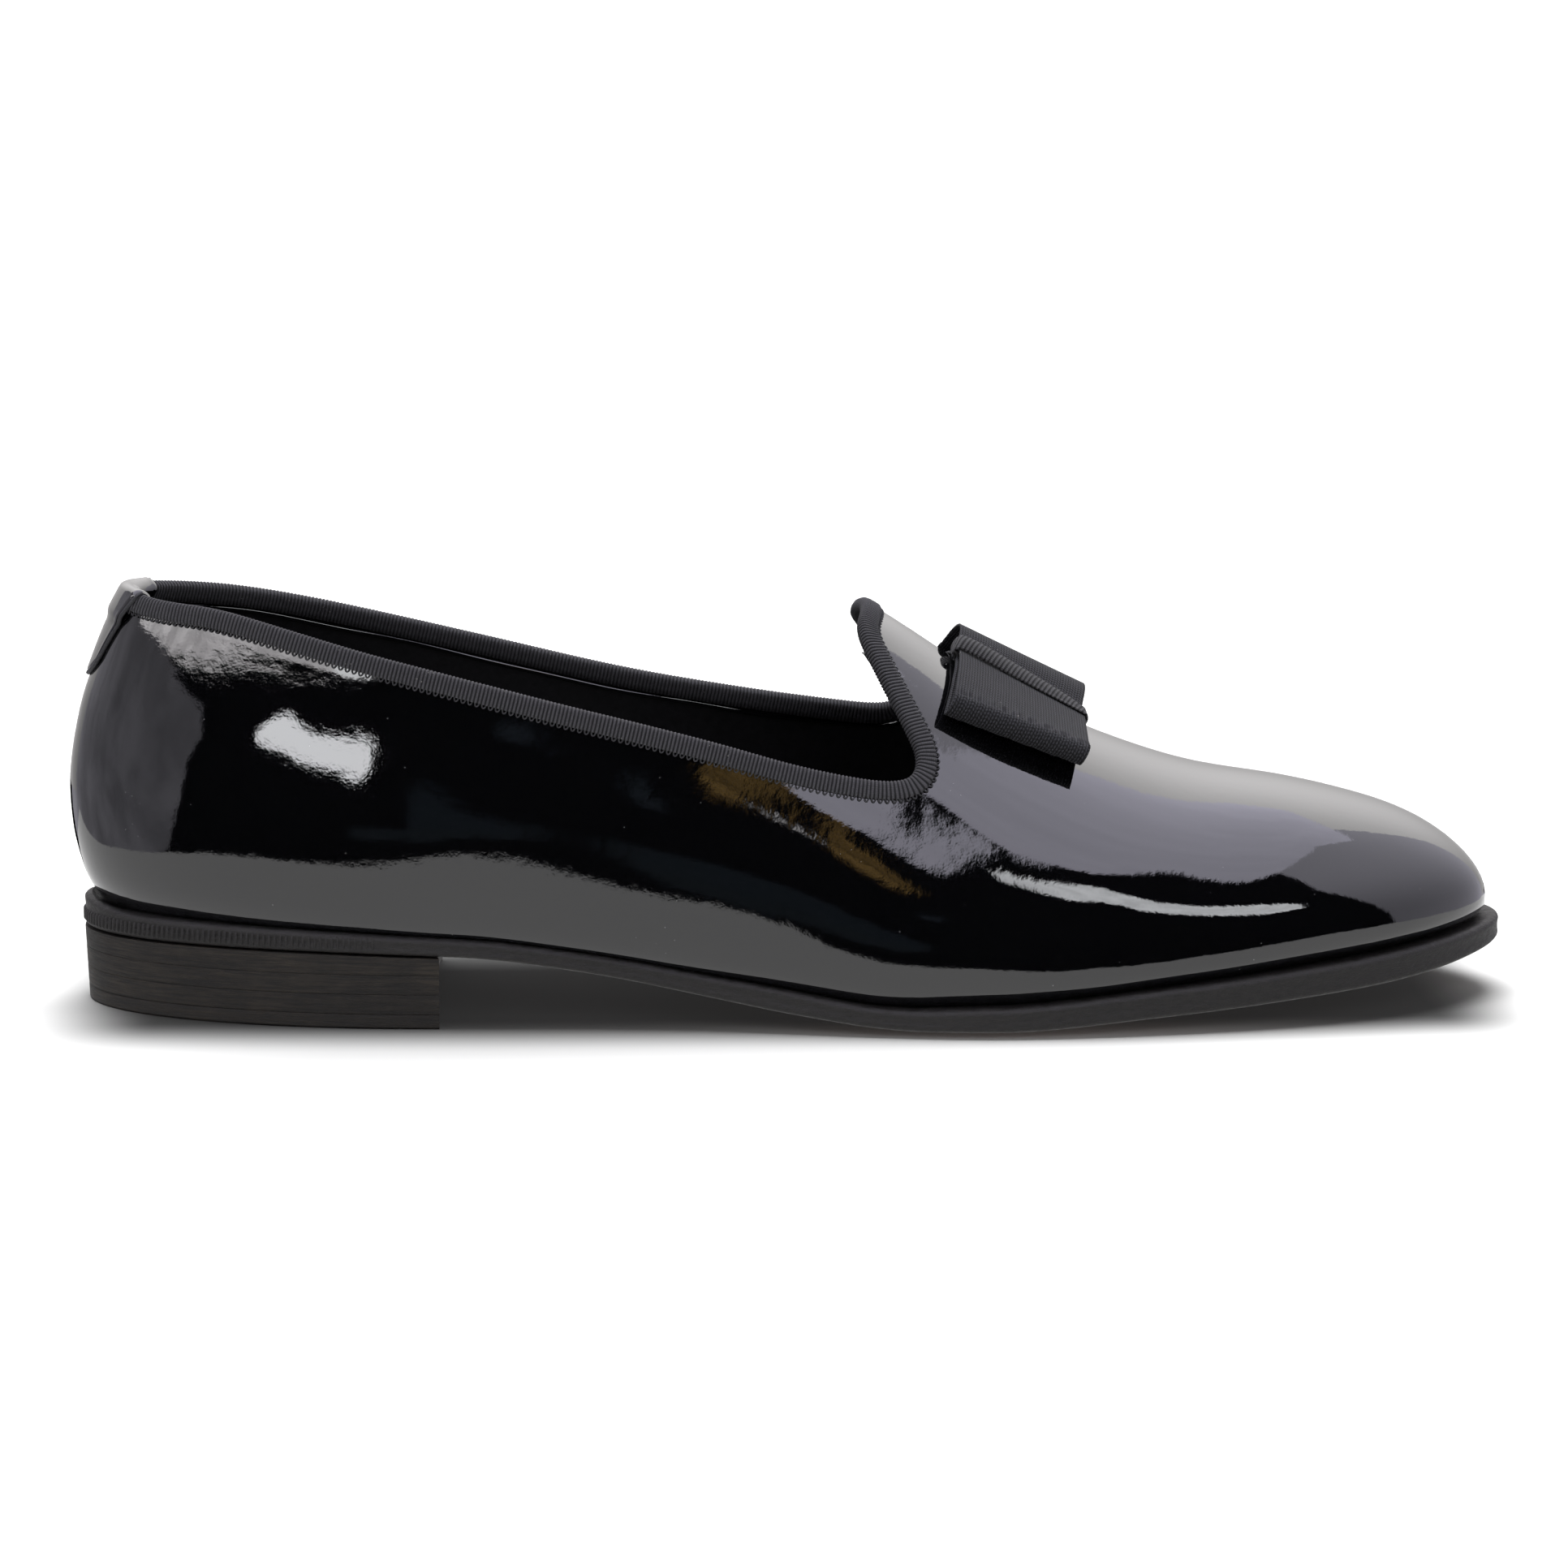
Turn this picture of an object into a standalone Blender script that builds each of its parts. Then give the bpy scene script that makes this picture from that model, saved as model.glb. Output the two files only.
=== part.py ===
"""Patent-leather opera pump for the right foot: leather outsole, stacked heel, one-piece
hollow upper with a tongue, ribbed edge binding, heel tab and flat ribbon bow.

Metres, +Z up. +X runs from the heel to the toe, +Y to the inner side of the foot.
"""

import math

import bpy
import numpy as np
from mathutils import Matrix

for old in list(bpy.data.objects):
    bpy.data.objects.remove(old, do_unlink=True)

# Named sizes, in metres
LENGTH = 0.300            # outsole, back of the heel to the toe
BALL_WIDTH = 0.0932       # upper, outside, across the ball
SOLE_WIDTH = 0.0956       # outsole, across the ball
BACK_HEIGHT = 0.0650      # seat of the heel to the topline at the back
HEEL_HEIGHT = 0.0150      # floor to the underside of the sole at the heel breast
HEEL_LENGTH = 0.0741      # heel, back to breast
HEEL_TAPER = 0.0007       # how far the heel narrows towards the floor, each side
BREAST_HOLLOW = 0.0022    # depth of the curve across the breast
TOP_PIECE_HEIGHT = 0.0031
LIFT_HEIGHT = 0.0041
LIFT_GAP = 0.00022
GAP = 0.0003              # between curved pieces
SEAT_EDGE = 0.0046        # sole edge at the seat
WAIST_EDGE = 0.0038       # sole edge at the waist
FORE_EDGE = 0.0060        # sole edge at the ball and toe
SEAT_LIP = 0.0016         # lip of the sole edge round the back of the seat
TREAD_RISE = 0.0013       # how far the tread curves up at its sides
BEVEL = 0.0011            # round on the sole's edges
WALL = 0.0020             # upper with its lining
RIM_WALL = 0.0012         # upper, skived at the topline
SKIVE = 0.0160            # below the binding, until the upper has its full wall
MARGIN = 0.0105           # upper turned in under the insole
MARGIN_WALL = 0.0014
TOE_TUCK = 0.0024         # upper drawn in below its widest line, at the toe
INSOLE_WALL = 0.0022
BINDING_DEPTH = 0.0027    # binding, from the topline down each face
BINDING_WALL = 0.00055
TAB_HEIGHT = 0.0175       # heel tab, outside, below the topline
TAB_INSIDE = 0.0090
TAB_HALF_WIDTH = 0.0092
TAB_WALL = 0.0010
TAB_END_WIDTH = 0.66      # share of the tab's width that its rounded end starts from
BOW_LENGTH = 0.0300       # ribbon width, along the shoe
BOW_HALF_SPAN = 0.0258    # centre of the bow to a wing's end
BOW_STATION = 0.1946      # centre of the bow from the back of the heel
BOW_OFFSET = 0.0015       # centre of the bow to the inner side of the shoe's middle
RIBBON_WALL = 0.0005
WING_LOFT = 0.0044        # wing, height of its fold
WING_TWIST = 0.0023       # how far a wing's end drops towards the heel and lifts to the toe
BAND_WIDTH = 0.0058
BAND_WALL = 0.0005
NEST_GAP = 0.0002         # between the band and the ribbon's two runs
SIDE_COLUMNS = 34         # columns of the upper's mesh, back to toe on one side
WALL_ROWS = 15

HALF = BALL_WIDTH / 2
SOLE_HALF = SOLE_WIDTH / 2

# Tread line of the outsole: x / LENGTH, underside / HEEL_HEIGHT
TREAD = (
    (0.000, 1.053), (0.247, 1.000), (0.280, 0.960), (0.317, 0.867), (0.367, 0.707),
    (0.417, 0.513), (0.467, 0.327), (0.507, 0.167), (0.543, 0.040), (0.573, 0.000),
    (0.633, 0.000), (0.677, 0.053), (0.720, 0.127), (0.777, 0.220), (0.833, 0.327),
    (0.897, 0.460), (0.950, 0.600), (1.000, 0.753),
)
# Outsole outline: x / LENGTH, centre / SOLE_HALF, half width / SOLE_HALF before its ends close
OUTLINE = (
    (0.00, 0.000, 0.672), (0.10, -0.002, 0.686), (0.20, -0.017, 0.700),
    (0.30, -0.046, 0.690), (0.40, -0.058, 0.706), (0.50, -0.034, 0.838),
    (0.57, 0.000, 0.950), (0.64, 0.028, 1.004), (0.71, 0.056, 1.000),
    (0.78, 0.072, 0.972), (0.86, 0.078, 0.926), (0.93, 0.077, 0.866), (1.00, 0.070, 0.770),
)
# Sections of the upper: x / LENGTH, centre / HALF, half width / HALF, widest line above the
# feather / BACK_HEIGHT, ridge above the widest line / BACK_HEIGHT, ridge to inner side / HALF,
# peak of the ridge, tuck below the widest line / HALF
SECTIONS = (
    (0.00, 0.000, 0.721, 0.240, 1.540, 0.000, 0.00, 0.034),
    (0.10, -0.004, 0.726, 0.222, 1.510, 0.000, 0.00, 0.034),
    (0.20, -0.019, 0.727, 0.191, 1.475, 0.004, 0.00, 0.034),
    (0.30, -0.041, 0.726, 0.165, 1.400, 0.017, 0.00, 0.034),
    (0.40, -0.054, 0.743, 0.140, 1.285, 0.045, 0.05, 0.036),
    (0.50, -0.032, 0.850, 0.132, 1.115, 0.080, 0.12, 0.039),
    (0.553, -0.013, 0.921, 0.118, 1.035, 0.095, 0.18, 0.042),
    (0.60, 0.004, 0.966, 0.112, 0.898, 0.095, 0.20, 0.045),
    (0.65, 0.028, 0.994, 0.101, 0.762, 0.080, 0.15, 0.047),
    (0.70, 0.047, 1.000, 0.090, 0.646, 0.060, 0.10, 0.047),
    (0.74, 0.060, 0.983, 0.085, 0.571, 0.042, 0.05, 0.049),
    (0.787, 0.069, 0.958, 0.084, 0.508, 0.024, 0.00, 0.051),
    (0.84, 0.075, 0.926, 0.087, 0.474, 0.006, -0.10, 0.051),
    (0.893, 0.077, 0.890, 0.081, 0.457, 0.002, -0.15, 0.051),
    (0.947, 0.075, 0.845, 0.067, 0.446, 0.000, -0.20, 0.054),
    (0.993, 0.069, 0.780, 0.045, 0.415, 0.000, -0.20, 0.056),
)
# Back of the heel: height above the feather / BACK_HEIGHT, x / LENGTH
BACK_CURVE = (
    (-0.02, 0.0150), (0.020, 0.0093), (0.072, 0.0028), (0.135, -0.0020), (0.212, -0.0060),
    (0.289, -0.0080), (0.380, -0.0087), (0.472, -0.0070), (0.565, -0.0035),
    (0.657, 0.0013), (0.749, 0.0082), (0.842, 0.0160), (0.934, 0.0250), (1.026, 0.0363),
    (1.120, 0.0493),
)
# Topline in the side view: x / LENGTH, height above the seat's feather / BACK_HEIGHT. The
# first row is the back seam and the last the tongue's tip, which find their own x and height.
TOPLINE_OUTER = (
    (0.0320, 0.995), (0.0483, 0.979), (0.0927, 0.960), (0.1317, 0.922), (0.1683, 0.877),
    (0.2050, 0.832), (0.2417, 0.790), (0.2777, 0.748), (0.3343, 0.681), (0.3667, 0.644),
    (0.4067, 0.598), (0.4433, 0.554), (0.4807, 0.507), (0.5200, 0.467), (0.5430, 0.451),
    (0.5580, 0.450), (0.5685, 0.466), (0.5735, 0.501), (0.5735, 0.546), (0.5690, 0.600),
    (0.5565, 0.714), (0.5450, 0.822), (0.5402, 0.872), (0.5393, 0.903), (0.5415, 0.919),
    (0.5462, 0.928), (0.5520, 0.929),
)
TOPLINE_INNER = (
    (0.0320, 0.995), (0.0510, 0.986), (0.0990, 0.957), (0.1493, 0.910), (0.2000, 0.855),
    (0.2400, 0.811), (0.2773, 0.771), (0.3380, 0.706), (0.3733, 0.670), (0.4167, 0.631),
    (0.4550, 0.599), (0.4950, 0.568), (0.5380, 0.539), (0.5600, 0.530), (0.5727, 0.540),
    (0.5792, 0.572), (0.5795, 0.616), (0.5755, 0.669), (0.5632, 0.758), (0.5508, 0.835),
    (0.5432, 0.882), (0.5415, 0.906), (0.5432, 0.921), (0.5470, 0.928), (0.5520, 0.929),
)


# The ribbon's two runs off the vamp's plane, outer wing to inner wing: place across /
# BOW_HALF_SPAN, lower run / WING_LOFT, upper run / WING_LOFT
RUNS = (
    (-0.915, -1.400, -0.400), (-0.75, -0.98, -0.180), (-0.60, -0.62, 0.060),
    (-0.40, -0.18, 0.350), (-0.20, 0.20, 0.610), (0.00, 0.280, 0.740), (0.16, 0.300, 0.900),
    (0.32, 0.270, 1.360), (0.46, 0.140, 1.610), (0.60, -0.100, 1.600), (0.76, -0.460, 1.250),
    (0.915, -0.560, 0.440),
)
# Top of the band that gathers the ribbon: place across / BAND_WIDTH, height / WING_LOFT
BAND_ARCH = ((-0.5, 0.80), (-0.3, 1.03), (0.0, 1.19), (0.25, 1.23), (0.5, 1.23))


def spline(rows, column=1):
    """Natural cubic spline through a table's column, straight beyond its ends."""
    xs = np.array([row[0] for row in rows], float)
    ys = np.array([row[column] for row in rows], float)
    step, count = np.diff(xs), len(xs)
    matrix, right = np.eye(count), np.zeros(count)
    for i in range(1, count - 1):
        matrix[i, i - 1:i + 2] = step[i - 1], 2 * (step[i - 1] + step[i]), step[i]
        right[i] = 6 * ((ys[i + 1] - ys[i]) / step[i] - (ys[i] - ys[i - 1]) / step[i - 1])
    bend = np.linalg.solve(matrix, right)
    first = (ys[1] - ys[0]) / step[0] - step[0] * bend[1] / 6
    last = (ys[-1] - ys[-2]) / step[-1] + step[-1] * bend[-2] / 6

    def at(x):
        x = np.asarray(x, float)
        k = np.clip(np.searchsorted(xs, x) - 1, 0, count - 2)
        after, before, width = x - xs[k], xs[k + 1] - x, step[k]
        value = (bend[k] * before**3 + bend[k + 1] * after**3) / (6 * width)
        value = value + (ys[k] / width - bend[k] * width / 6) * before
        value = value + (ys[k + 1] / width - bend[k + 1] * width / 6) * after
        value = np.where(x < xs[0], ys[0] + first * (x - xs[0]), value)
        return np.where(x > xs[-1], ys[-1] + last * (x - xs[-1]), value)

    return at


def scaled(rows, column, size):
    """A table's column as lengths along the shoe, in metres."""
    share = spline(rows, column)
    return lambda x: share(np.asarray(x) / LENGTH) * size


tread_line = scaled(TREAD, 1, HEEL_HEIGHT)
sole_centre = scaled(OUTLINE, 1, SOLE_HALF)
sole_half = scaled(OUTLINE, 2, SOLE_HALF)
EDGE = ((0.0, SEAT_EDGE + 0.0004), (0.10, SEAT_EDGE), (0.247, WAIST_EDGE), (0.40, WAIST_EDGE + 0.0004),
        (0.50, FORE_EDGE - 0.0010), (0.60, FORE_EDGE), (0.93, FORE_EDGE),
        (1.0, FORE_EDGE - 0.0009))
sole_edge = scaled(EDGE, 1, 1.0)
centre_line = scaled(SECTIONS, 1, HALF)
half_width = scaled(SECTIONS, 2, HALF)
widest_rise = scaled(SECTIONS, 3, BACK_HEIGHT)
ridge_rise = scaled(SECTIONS, 4, BACK_HEIGHT)
ridge_shift = scaled(SECTIONS, 5, HALF)
ridge_peak = scaled(SECTIONS, 6, 1.0)
tuck = scaled(SECTIONS, 7, HALF)
back_share = spline(BACK_CURVE)
TOE_TIP = 0.990 * LENGTH
TOE_START = 0.62 * LENGTH
HEEL_ROUND = 0.253 * LENGTH


def tread(x):
    """Height of the outsole's underside along the middle line; it stands flat at the ball."""
    return np.maximum(tread_line(x), 0.0)


def sole_top(x):
    """Height of the outsole's upper face."""
    return tread(x) + sole_edge(x)


def feather(x):
    """Height of the line where the upper meets the sole."""
    return sole_top(x) + GAP


def widest(x):
    return feather(x) + widest_rise(x)


def below(x, z):
    """0 at the widest line, 1 at the feather."""
    return np.clip((widest(x) - z) / (widest(x) - feather(x)), 0, 1.6)


def toe_close(x, z=None):
    """How far the toe has closed in, 1 to 0."""
    tip = TOE_TIP if z is None else TOE_TIP - TOE_TUCK * below(np.minimum(x, TOE_TIP), z) ** 4
    share = np.clip((x - TOE_START) / (tip - TOE_START), 0, 1)
    return np.sqrt(1 - share**3)


def heel_close(x, z):
    rise = np.clip((z - feather(0.0)) / BACK_HEIGHT - 0.12, 0, 1.1)
    start = HEEL_ROUND * (1 + 0.36 * rise**1.5)
    back = back_share((z - feather(0.0)) / BACK_HEIGHT) * LENGTH
    share = np.clip((start - x) / (start - back), 0, 1)
    return np.sqrt(1 - share**2.2)


def half_at(x, z):
    """Half the upper's outside width at a height."""
    rise = np.maximum(ridge_rise(x) * np.maximum(toe_close(x), 1e-6), 1e-9)
    share = np.clip(np.abs(z - widest(x)) / rise, 0, 1)
    peak, left = ridge_peak(x), 1 - share**2
    root = np.sqrt(np.maximum((1 + peak) ** 2 - 4 * peak * left, 0))
    across = np.sqrt(2 * left / ((1 + peak) + root))
    closed = toe_close(x, z) * heel_close(x, z)
    return half_width(x) * closed * across - tuck(x) * below(x, z) ** 4 * np.minimum(1, 1.5 * closed)


def centre_at(x, z):
    share = np.clip((z - widest(x)) / ridge_rise(x), 0, 1)
    return centre_line(x) + ridge_shift(x) * share**2


def ridge(x):
    return widest(x) + ridge_rise(x) * toe_close(x)


def inside(points):
    x, y, z = points[..., 0], points[..., 1], points[..., 2]
    return np.abs(y - centre_at(x, z)) < half_at(x, z)


def reach(start, target):
    """The last's surface along each ray from a point inside through a target."""
    away = target - start
    away = away / np.linalg.norm(away, axis=-1, keepdims=True)
    near, far = np.zeros(away.shape[:-1]), np.full(away.shape[:-1], 0.7 * LENGTH)
    steps = np.linspace(0, 1, 141)[1:] * 0.7 * LENGTH
    found = np.zeros(near.shape, bool)
    for step in steps:
        out = ~inside(start + away * step) & ~found
        far[out], near[out] = step, step - steps[0]
        found |= out
    for _ in range(44):
        middle = (near + far) / 2
        within = inside(start + away * middle[..., None])
        near, far = np.where(within, middle, near), np.where(within, far, middle)
    return start + away * near[..., None]


def eased(count):
    """Shares from 0 to 1 that crowd towards both ends."""
    return (1 - np.cos(np.linspace(0, math.pi, count))) / 2


def arc(points):
    """Length along a polyline, up to each of its points."""
    steps = np.linalg.norm(np.diff(points, axis=0), axis=1)
    return np.concatenate([[0], np.cumsum(steps)])


def feather_line(side, count=1201):
    """The feather from the back to the toe; side is -1 outer, 1 inner."""
    back = back_share((feather(0.0) - feather(0.0)) / BACK_HEIGHT) * LENGTH
    x = back + (TOE_TIP - TOE_TUCK - back) * eased(count)
    z = feather(x)
    half = half_at(x, z)
    half[0] = half[-1] = 0
    return np.stack([x, centre_at(x, z) + side * half, z], -1)


def topline(side, count=1201):
    """The topline from the back seam to the tongue's tip."""
    rows = np.array(TOPLINE_OUTER if side < 0 else TOPLINE_INNER)
    rows = np.stack([rows[:, 0] * LENGTH, feather(0.0) + rows[:, 1] * BACK_HEIGHT], -1)
    rows[0, 0] = back_share((rows[0, 1] - feather(0.0)) / BACK_HEIGHT) * LENGTH
    rows[-1, 1] = ridge(rows[-1, 0])
    along = arc(rows)
    u = along[-1] * eased(count)
    x = spline(list(zip(along, rows[:, 0])))(u)
    z = spline(list(zip(along, rows[:, 1])))(u)
    half = half_at(x, np.minimum(z, ridge(x)))
    half[0] = half[-1] = 0
    return np.stack([x, centre_at(x, z) + side * half, z], -1)


# Which feather points and topline points one column joins: x / LENGTH on the feather from
# back to toe, and the topline's share between its back, throat corner and tongue tip
COLUMNS = (
    (0.00, 0.0, 0.0), (0.085, 0.027, 0.056), (0.23, 0.215, 0.39), (0.40, 0.480, 0.82),
    (0.50, 0.590, 0.98), (0.62, 0.745, 1.25), (0.80, 0.905, 1.62), (1.00, 1.0, 2.0),
)


def side_ends(side, shares):
    """Feather and topline ends of the columns of one side."""
    low, high = feather_line(side), topline(side)
    low_arc, high_arc = arc(low), arc(high)
    corner = high_arc[np.argmax(high[:, 0])]
    rows = []
    for share, x, step in COLUMNS:
        at = low_arc[-1] if x >= 1 else np.interp(x * LENGTH, low[:, 0], low_arc) * (x > 0)
        rise = corner * min(step, 1) + (high_arc[-1] - corner) * max(step - 1, 0)
        rows.append((share, at, rise))
    at, rise = spline(rows, 1)(shares), spline(rows, 2)(shares)
    pick = lambda line, length, value: np.stack(
        [np.interp(value, length, line[:, k]) for k in range(3)], -1)
    return pick(low, low_arc, at), pick(high, high_arc, rise)


def upper_grid(columns, rows):
    """Points of the upper's outside, (2 * columns, rows, 3), from feather to topline."""
    shares = np.linspace(0, 1, columns + 1)
    outer_low, outer_high = side_ends(-1, shares)
    inner_low, inner_high = side_ends(1, shares)
    low = np.concatenate([outer_low, inner_low[-2:0:-1]])
    high = np.concatenate([outer_high, inner_high[-2:0:-1]])
    share = np.concatenate([shares, shares[-2:0:-1]])
    ease = np.clip((share - 0.36) / 0.64, 0, 1)
    ease = ease * ease * (3 - 2 * ease)
    start_low, start_high = low.copy(), high.copy()
    start_low[:, 0] = np.clip(low[:, 0], 0.17 * LENGTH, 0.86 * LENGTH)
    start_low[:, 2] = widest(start_low[:, 0])
    start_high[:, 0] = np.maximum(high[:, 0], 0.25 * LENGTH) + 0.035 * LENGTH * ease
    start_high[:, 2] = high[:, 2] - BACK_HEIGHT * (0.04 + 0.66 * ease)
    for start in (start_low, start_high):
        start[:, 1] = centre_line(start[:, 0])
    path = eased(61)[None, :, None] ** 0.8
    mix = lambda a, b, w: a[:, None] * (1 - w) + b[:, None] * w
    trial = reach(mix(start_low, start_high, path), mix(low, high, path))
    steps = np.linalg.norm(np.diff(trial, axis=1), axis=-1)
    length = np.concatenate([np.zeros((len(low), 1)), np.cumsum(steps, axis=1)], axis=1)
    level = np.linspace(0, 1, rows - 1)
    level = level * (0.72 + 0.28 * level)
    at = [np.append(level * (row[-1] - 1.15 * BINDING_DEPTH), row[-1]) for row in length]
    wanted = np.stack([np.interp(a, row, path[0, :, 0]) for a, row in zip(at, length)])[..., None]
    grid = reach(mix(start_low, start_high, wanted), mix(low, high, wanted))
    grid[:, 0], grid[:, -1] = low, high
    return grid


def normals(grid):
    """Outward normals of a ring grid."""
    along = np.roll(grid, -1, 0) - np.roll(grid, 1, 0)
    up = np.gradient(grid, axis=1)
    normal = np.cross(along, up)
    return normal / np.linalg.norm(normal, axis=-1, keepdims=True)


def material(name, colour, roughness, coat=0.0, metallic=0.0):
    made = bpy.data.materials.new(name)
    made.use_nodes = True
    shader = made.node_tree.nodes["Principled BSDF"]
    shader.inputs["Base Color"].default_value = (*colour, 1)
    shader.inputs["Roughness"].default_value = roughness
    shader.inputs["Metallic"].default_value = metallic
    shader.inputs["Coat Weight"].default_value = coat
    return made


def add_object(name, points, faces, slot):
    """One named piece, its faces turned outwards and its round faces shaded smooth."""
    mesh = bpy.data.meshes.new(name)
    mesh.from_pydata([tuple(p) for p in points], [], faces)
    mesh.materials.append(slot)
    made = bpy.data.objects.new(name, mesh)
    bpy.context.scene.collection.objects.link(made)
    made.parent = shoe
    mesh.calc_loop_triangles()
    corners = np.array([[mesh.vertices[i].co for i in t.vertices] for t in mesh.loop_triangles])
    if np.linalg.det(corners).sum() < 0:
        mesh.flip_normals()
    mesh.shade_smooth()
    mesh.set_sharp_from_angle(angle=math.radians(38))
    return made


def ring_solid(name, loops, slot):
    """A closed tube: loops of the same count, each a ring, and the last joins the first."""
    loops = np.asarray(loops)
    rows, columns = loops.shape[:2]
    faces = []
    for i in range(rows):
        for j in range(columns):
            a, b = i * columns + j, i * columns + (j + 1) % columns
            c, d = ((i + 1) % rows) * columns + (j + 1) % columns, ((i + 1) % rows) * columns + j
            faces.append((a, b, c, d))
    return add_object(name, loops.reshape(-1, 3), faces, slot)


def disc_solid(name, loops, slot):
    """A closed slab: rings from the underside's centre out and back over the top. Its two
    end rings are closed by strips that join the outer side to the inner side."""
    loops = np.asarray(loops)
    rows, columns = loops.shape[:2]
    faces = []
    for i in range(rows - 1):
        for j in range(columns):
            a, b = i * columns + j, i * columns + (j + 1) % columns
            faces.append((a, b, b + columns, a + columns))
    half = columns // 2
    for base, turned in ((0, True), ((rows - 1) * columns, False)):
        for j in range(half):
            face = [base + j, base + j + 1, base + (columns - j - 1) % columns,
                    base + (columns - j) % columns]
            face = [v for k, v in enumerate(face) if v not in face[:k]]
            faces.append(tuple(face[::-1] if turned else face))
    return add_object(name, loops.reshape(-1, 3), faces, slot)


def sheet_solid(name, front, back, slot):
    """A closed sheet between two grids of the same shape."""
    rows, columns = front.shape[:2]
    count = rows * columns
    at = lambda i, j, k=0: k * count + i * columns + j
    faces = []
    for i in range(rows - 1):
        for j in range(columns - 1):
            faces.append((at(i, j), at(i, j + 1), at(i + 1, j + 1), at(i + 1, j)))
            faces.append((at(i + 1, j, 1), at(i + 1, j + 1, 1), at(i, j + 1, 1), at(i, j, 1)))
    for j in range(columns - 1):
        faces.append((at(0, j + 1), at(0, j), at(0, j, 1), at(0, j + 1, 1)))
        faces.append((at(rows - 1, j), at(rows - 1, j + 1), at(rows - 1, j + 1, 1),
                      at(rows - 1, j, 1)))
    for i in range(rows - 1):
        faces.append((at(i, 0), at(i + 1, 0), at(i + 1, 0, 1), at(i, 0, 1)))
        faces.append((at(i + 1, columns - 1), at(i, columns - 1), at(i, columns - 1, 1),
                      at(i + 1, columns - 1, 1)))
    points = np.concatenate([front.reshape(-1, 3), back.reshape(-1, 3)])
    return add_object(name, points, faces, slot)


def outline_ring(columns, inset=0.0):
    """Plan of the outsole drawn in by an inset: x, y of a ring of 2 * columns points."""
    x0, x1 = inset, LENGTH - inset
    angle = np.linspace(0, math.pi, 721)
    x = x0 + (x1 - x0) * (1 - np.cos(angle)) / 2
    start = 0.235 * LENGTH
    heel = np.sqrt(1 - np.clip((start - x) / (start - x0), 0, 1) ** 2.2)
    toe = np.sqrt(1 - np.clip((x - TOE_START) / (x1 - TOE_START), 0, 1) ** 3)
    half = (sole_half(x) - inset) * heel * toe
    half[0] = half[-1] = 0
    sides = []
    for side in (-1, 1):
        line = np.stack([x, sole_centre(x) + side * half], -1)
        length = arc(line)
        ease = np.linspace(0, 1, columns + 1)
        wanted = ease * length[-1]
        sides.append(np.stack([np.interp(wanted, length, line[:, k]) for k in range(2)], -1))
    return np.concatenate([sides[0], sides[1][-2:0:-1]])


def drawn_in(ring, share):
    """A plan ring drawn towards the middle line of the foot."""
    x = np.clip(ring[:, 0], 0.13 * LENGTH, 0.86 * LENGTH)
    spine = np.stack([x, sole_centre(x)], -1)
    return spine + (ring - spine) * share


def lifted(ring, height):
    return np.concatenate([ring, np.broadcast_to(height, len(ring))[:, None]], axis=1)


def across(ring):
    """How far each point of a plan ring lies from the middle line, 0 to 1 at the edge."""
    x = ring[:, 0]
    return np.clip(np.abs(ring[:, 1] - sole_centre(x)) / sole_half(x), 0, 1)


def tread_at(ring):
    """Height of the underside: flat in the middle, rising a little at the sides."""
    x = ring[:, 0]
    fore = np.clip((x - 0.46 * LENGTH) / (0.10 * LENGTH), 0, 1)
    fore = fore * fore * (3 - 2 * fore)
    toe = np.clip((1.0 - x / LENGTH) / 0.12, 0, 1)
    side = np.clip((across(ring) - 0.55) / 0.45, 0, 1) ** 2
    return tread(x) + TREAD_RISE * fore * toe * side


def seat_lip(x):
    return SEAT_LIP * np.clip(1 - x / (0.04 * LENGTH), 0, 1) ** 2


def build_outsole(slot):
    columns = 36
    edge = outline_ring(columns)
    base = tread_at(edge)
    top = sole_top(edge[:, 0]) + seat_lip(edge[:, 0])
    loops = []
    for share in (0.30, 0.62, 0.86):
        ring = drawn_in(edge, share)
        loops.append(lifted(ring, tread_at(ring)))
    loops.append(lifted(outline_ring(columns, BEVEL), base))
    loops.append(lifted(outline_ring(columns, 0.25 * BEVEL), base + 0.25 * BEVEL))
    loops.append(lifted(edge, base + BEVEL))
    loops.append(lifted(edge, top - BEVEL))
    loops.append(lifted(outline_ring(columns, 0.30 * BEVEL), top - 0.25 * BEVEL))
    loops.append(lifted(outline_ring(columns, 1.1 * BEVEL), top))
    inner = outline_ring(columns, 2.6 * BEVEL)
    loops.append(lifted(inner, sole_top(inner[:, 0])))
    for share in (0.62, 0.30):
        ring = drawn_in(edge, share)
        loops.append(lifted(ring, sole_top(ring[:, 0])))
    return disc_solid("outsole", loops, slot)


def heel_ring(columns, inset):
    """Plan of the heel: the outsole's outline up to the breast, which is hollowed."""
    full = outline_ring(200, inset)
    rings = []
    for side, line in ((-1, full[:201]), (1, np.concatenate([full[:1], full[:200:-1], full[200:201]]))):
        keep = line[line[:, 0] < HEEL_LENGTH]
        last = np.array([HEEL_LENGTH, np.interp(HEEL_LENGTH, line[:, 0], line[:, 1])])
        keep = np.vstack([keep, last])
        length = arc(keep)
        wanted = np.linspace(0, length[-1], columns + 1)
        side_points = np.stack([np.interp(wanted, length, keep[:, k]) for k in range(2)], -1)
        middle = np.array([HEEL_LENGTH, sole_centre(HEEL_LENGTH)])
        shares = np.linspace(0, 1, 7)[1:]
        breast = last + (middle - last) * shares[:, None]
        breast[:, 0] -= BREAST_HOLLOW * (1 - (1 - shares) ** 2)
        rings.append(np.vstack([side_points, breast]))
    return np.concatenate([rings[0], rings[1][-2:0:-1]])


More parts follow.
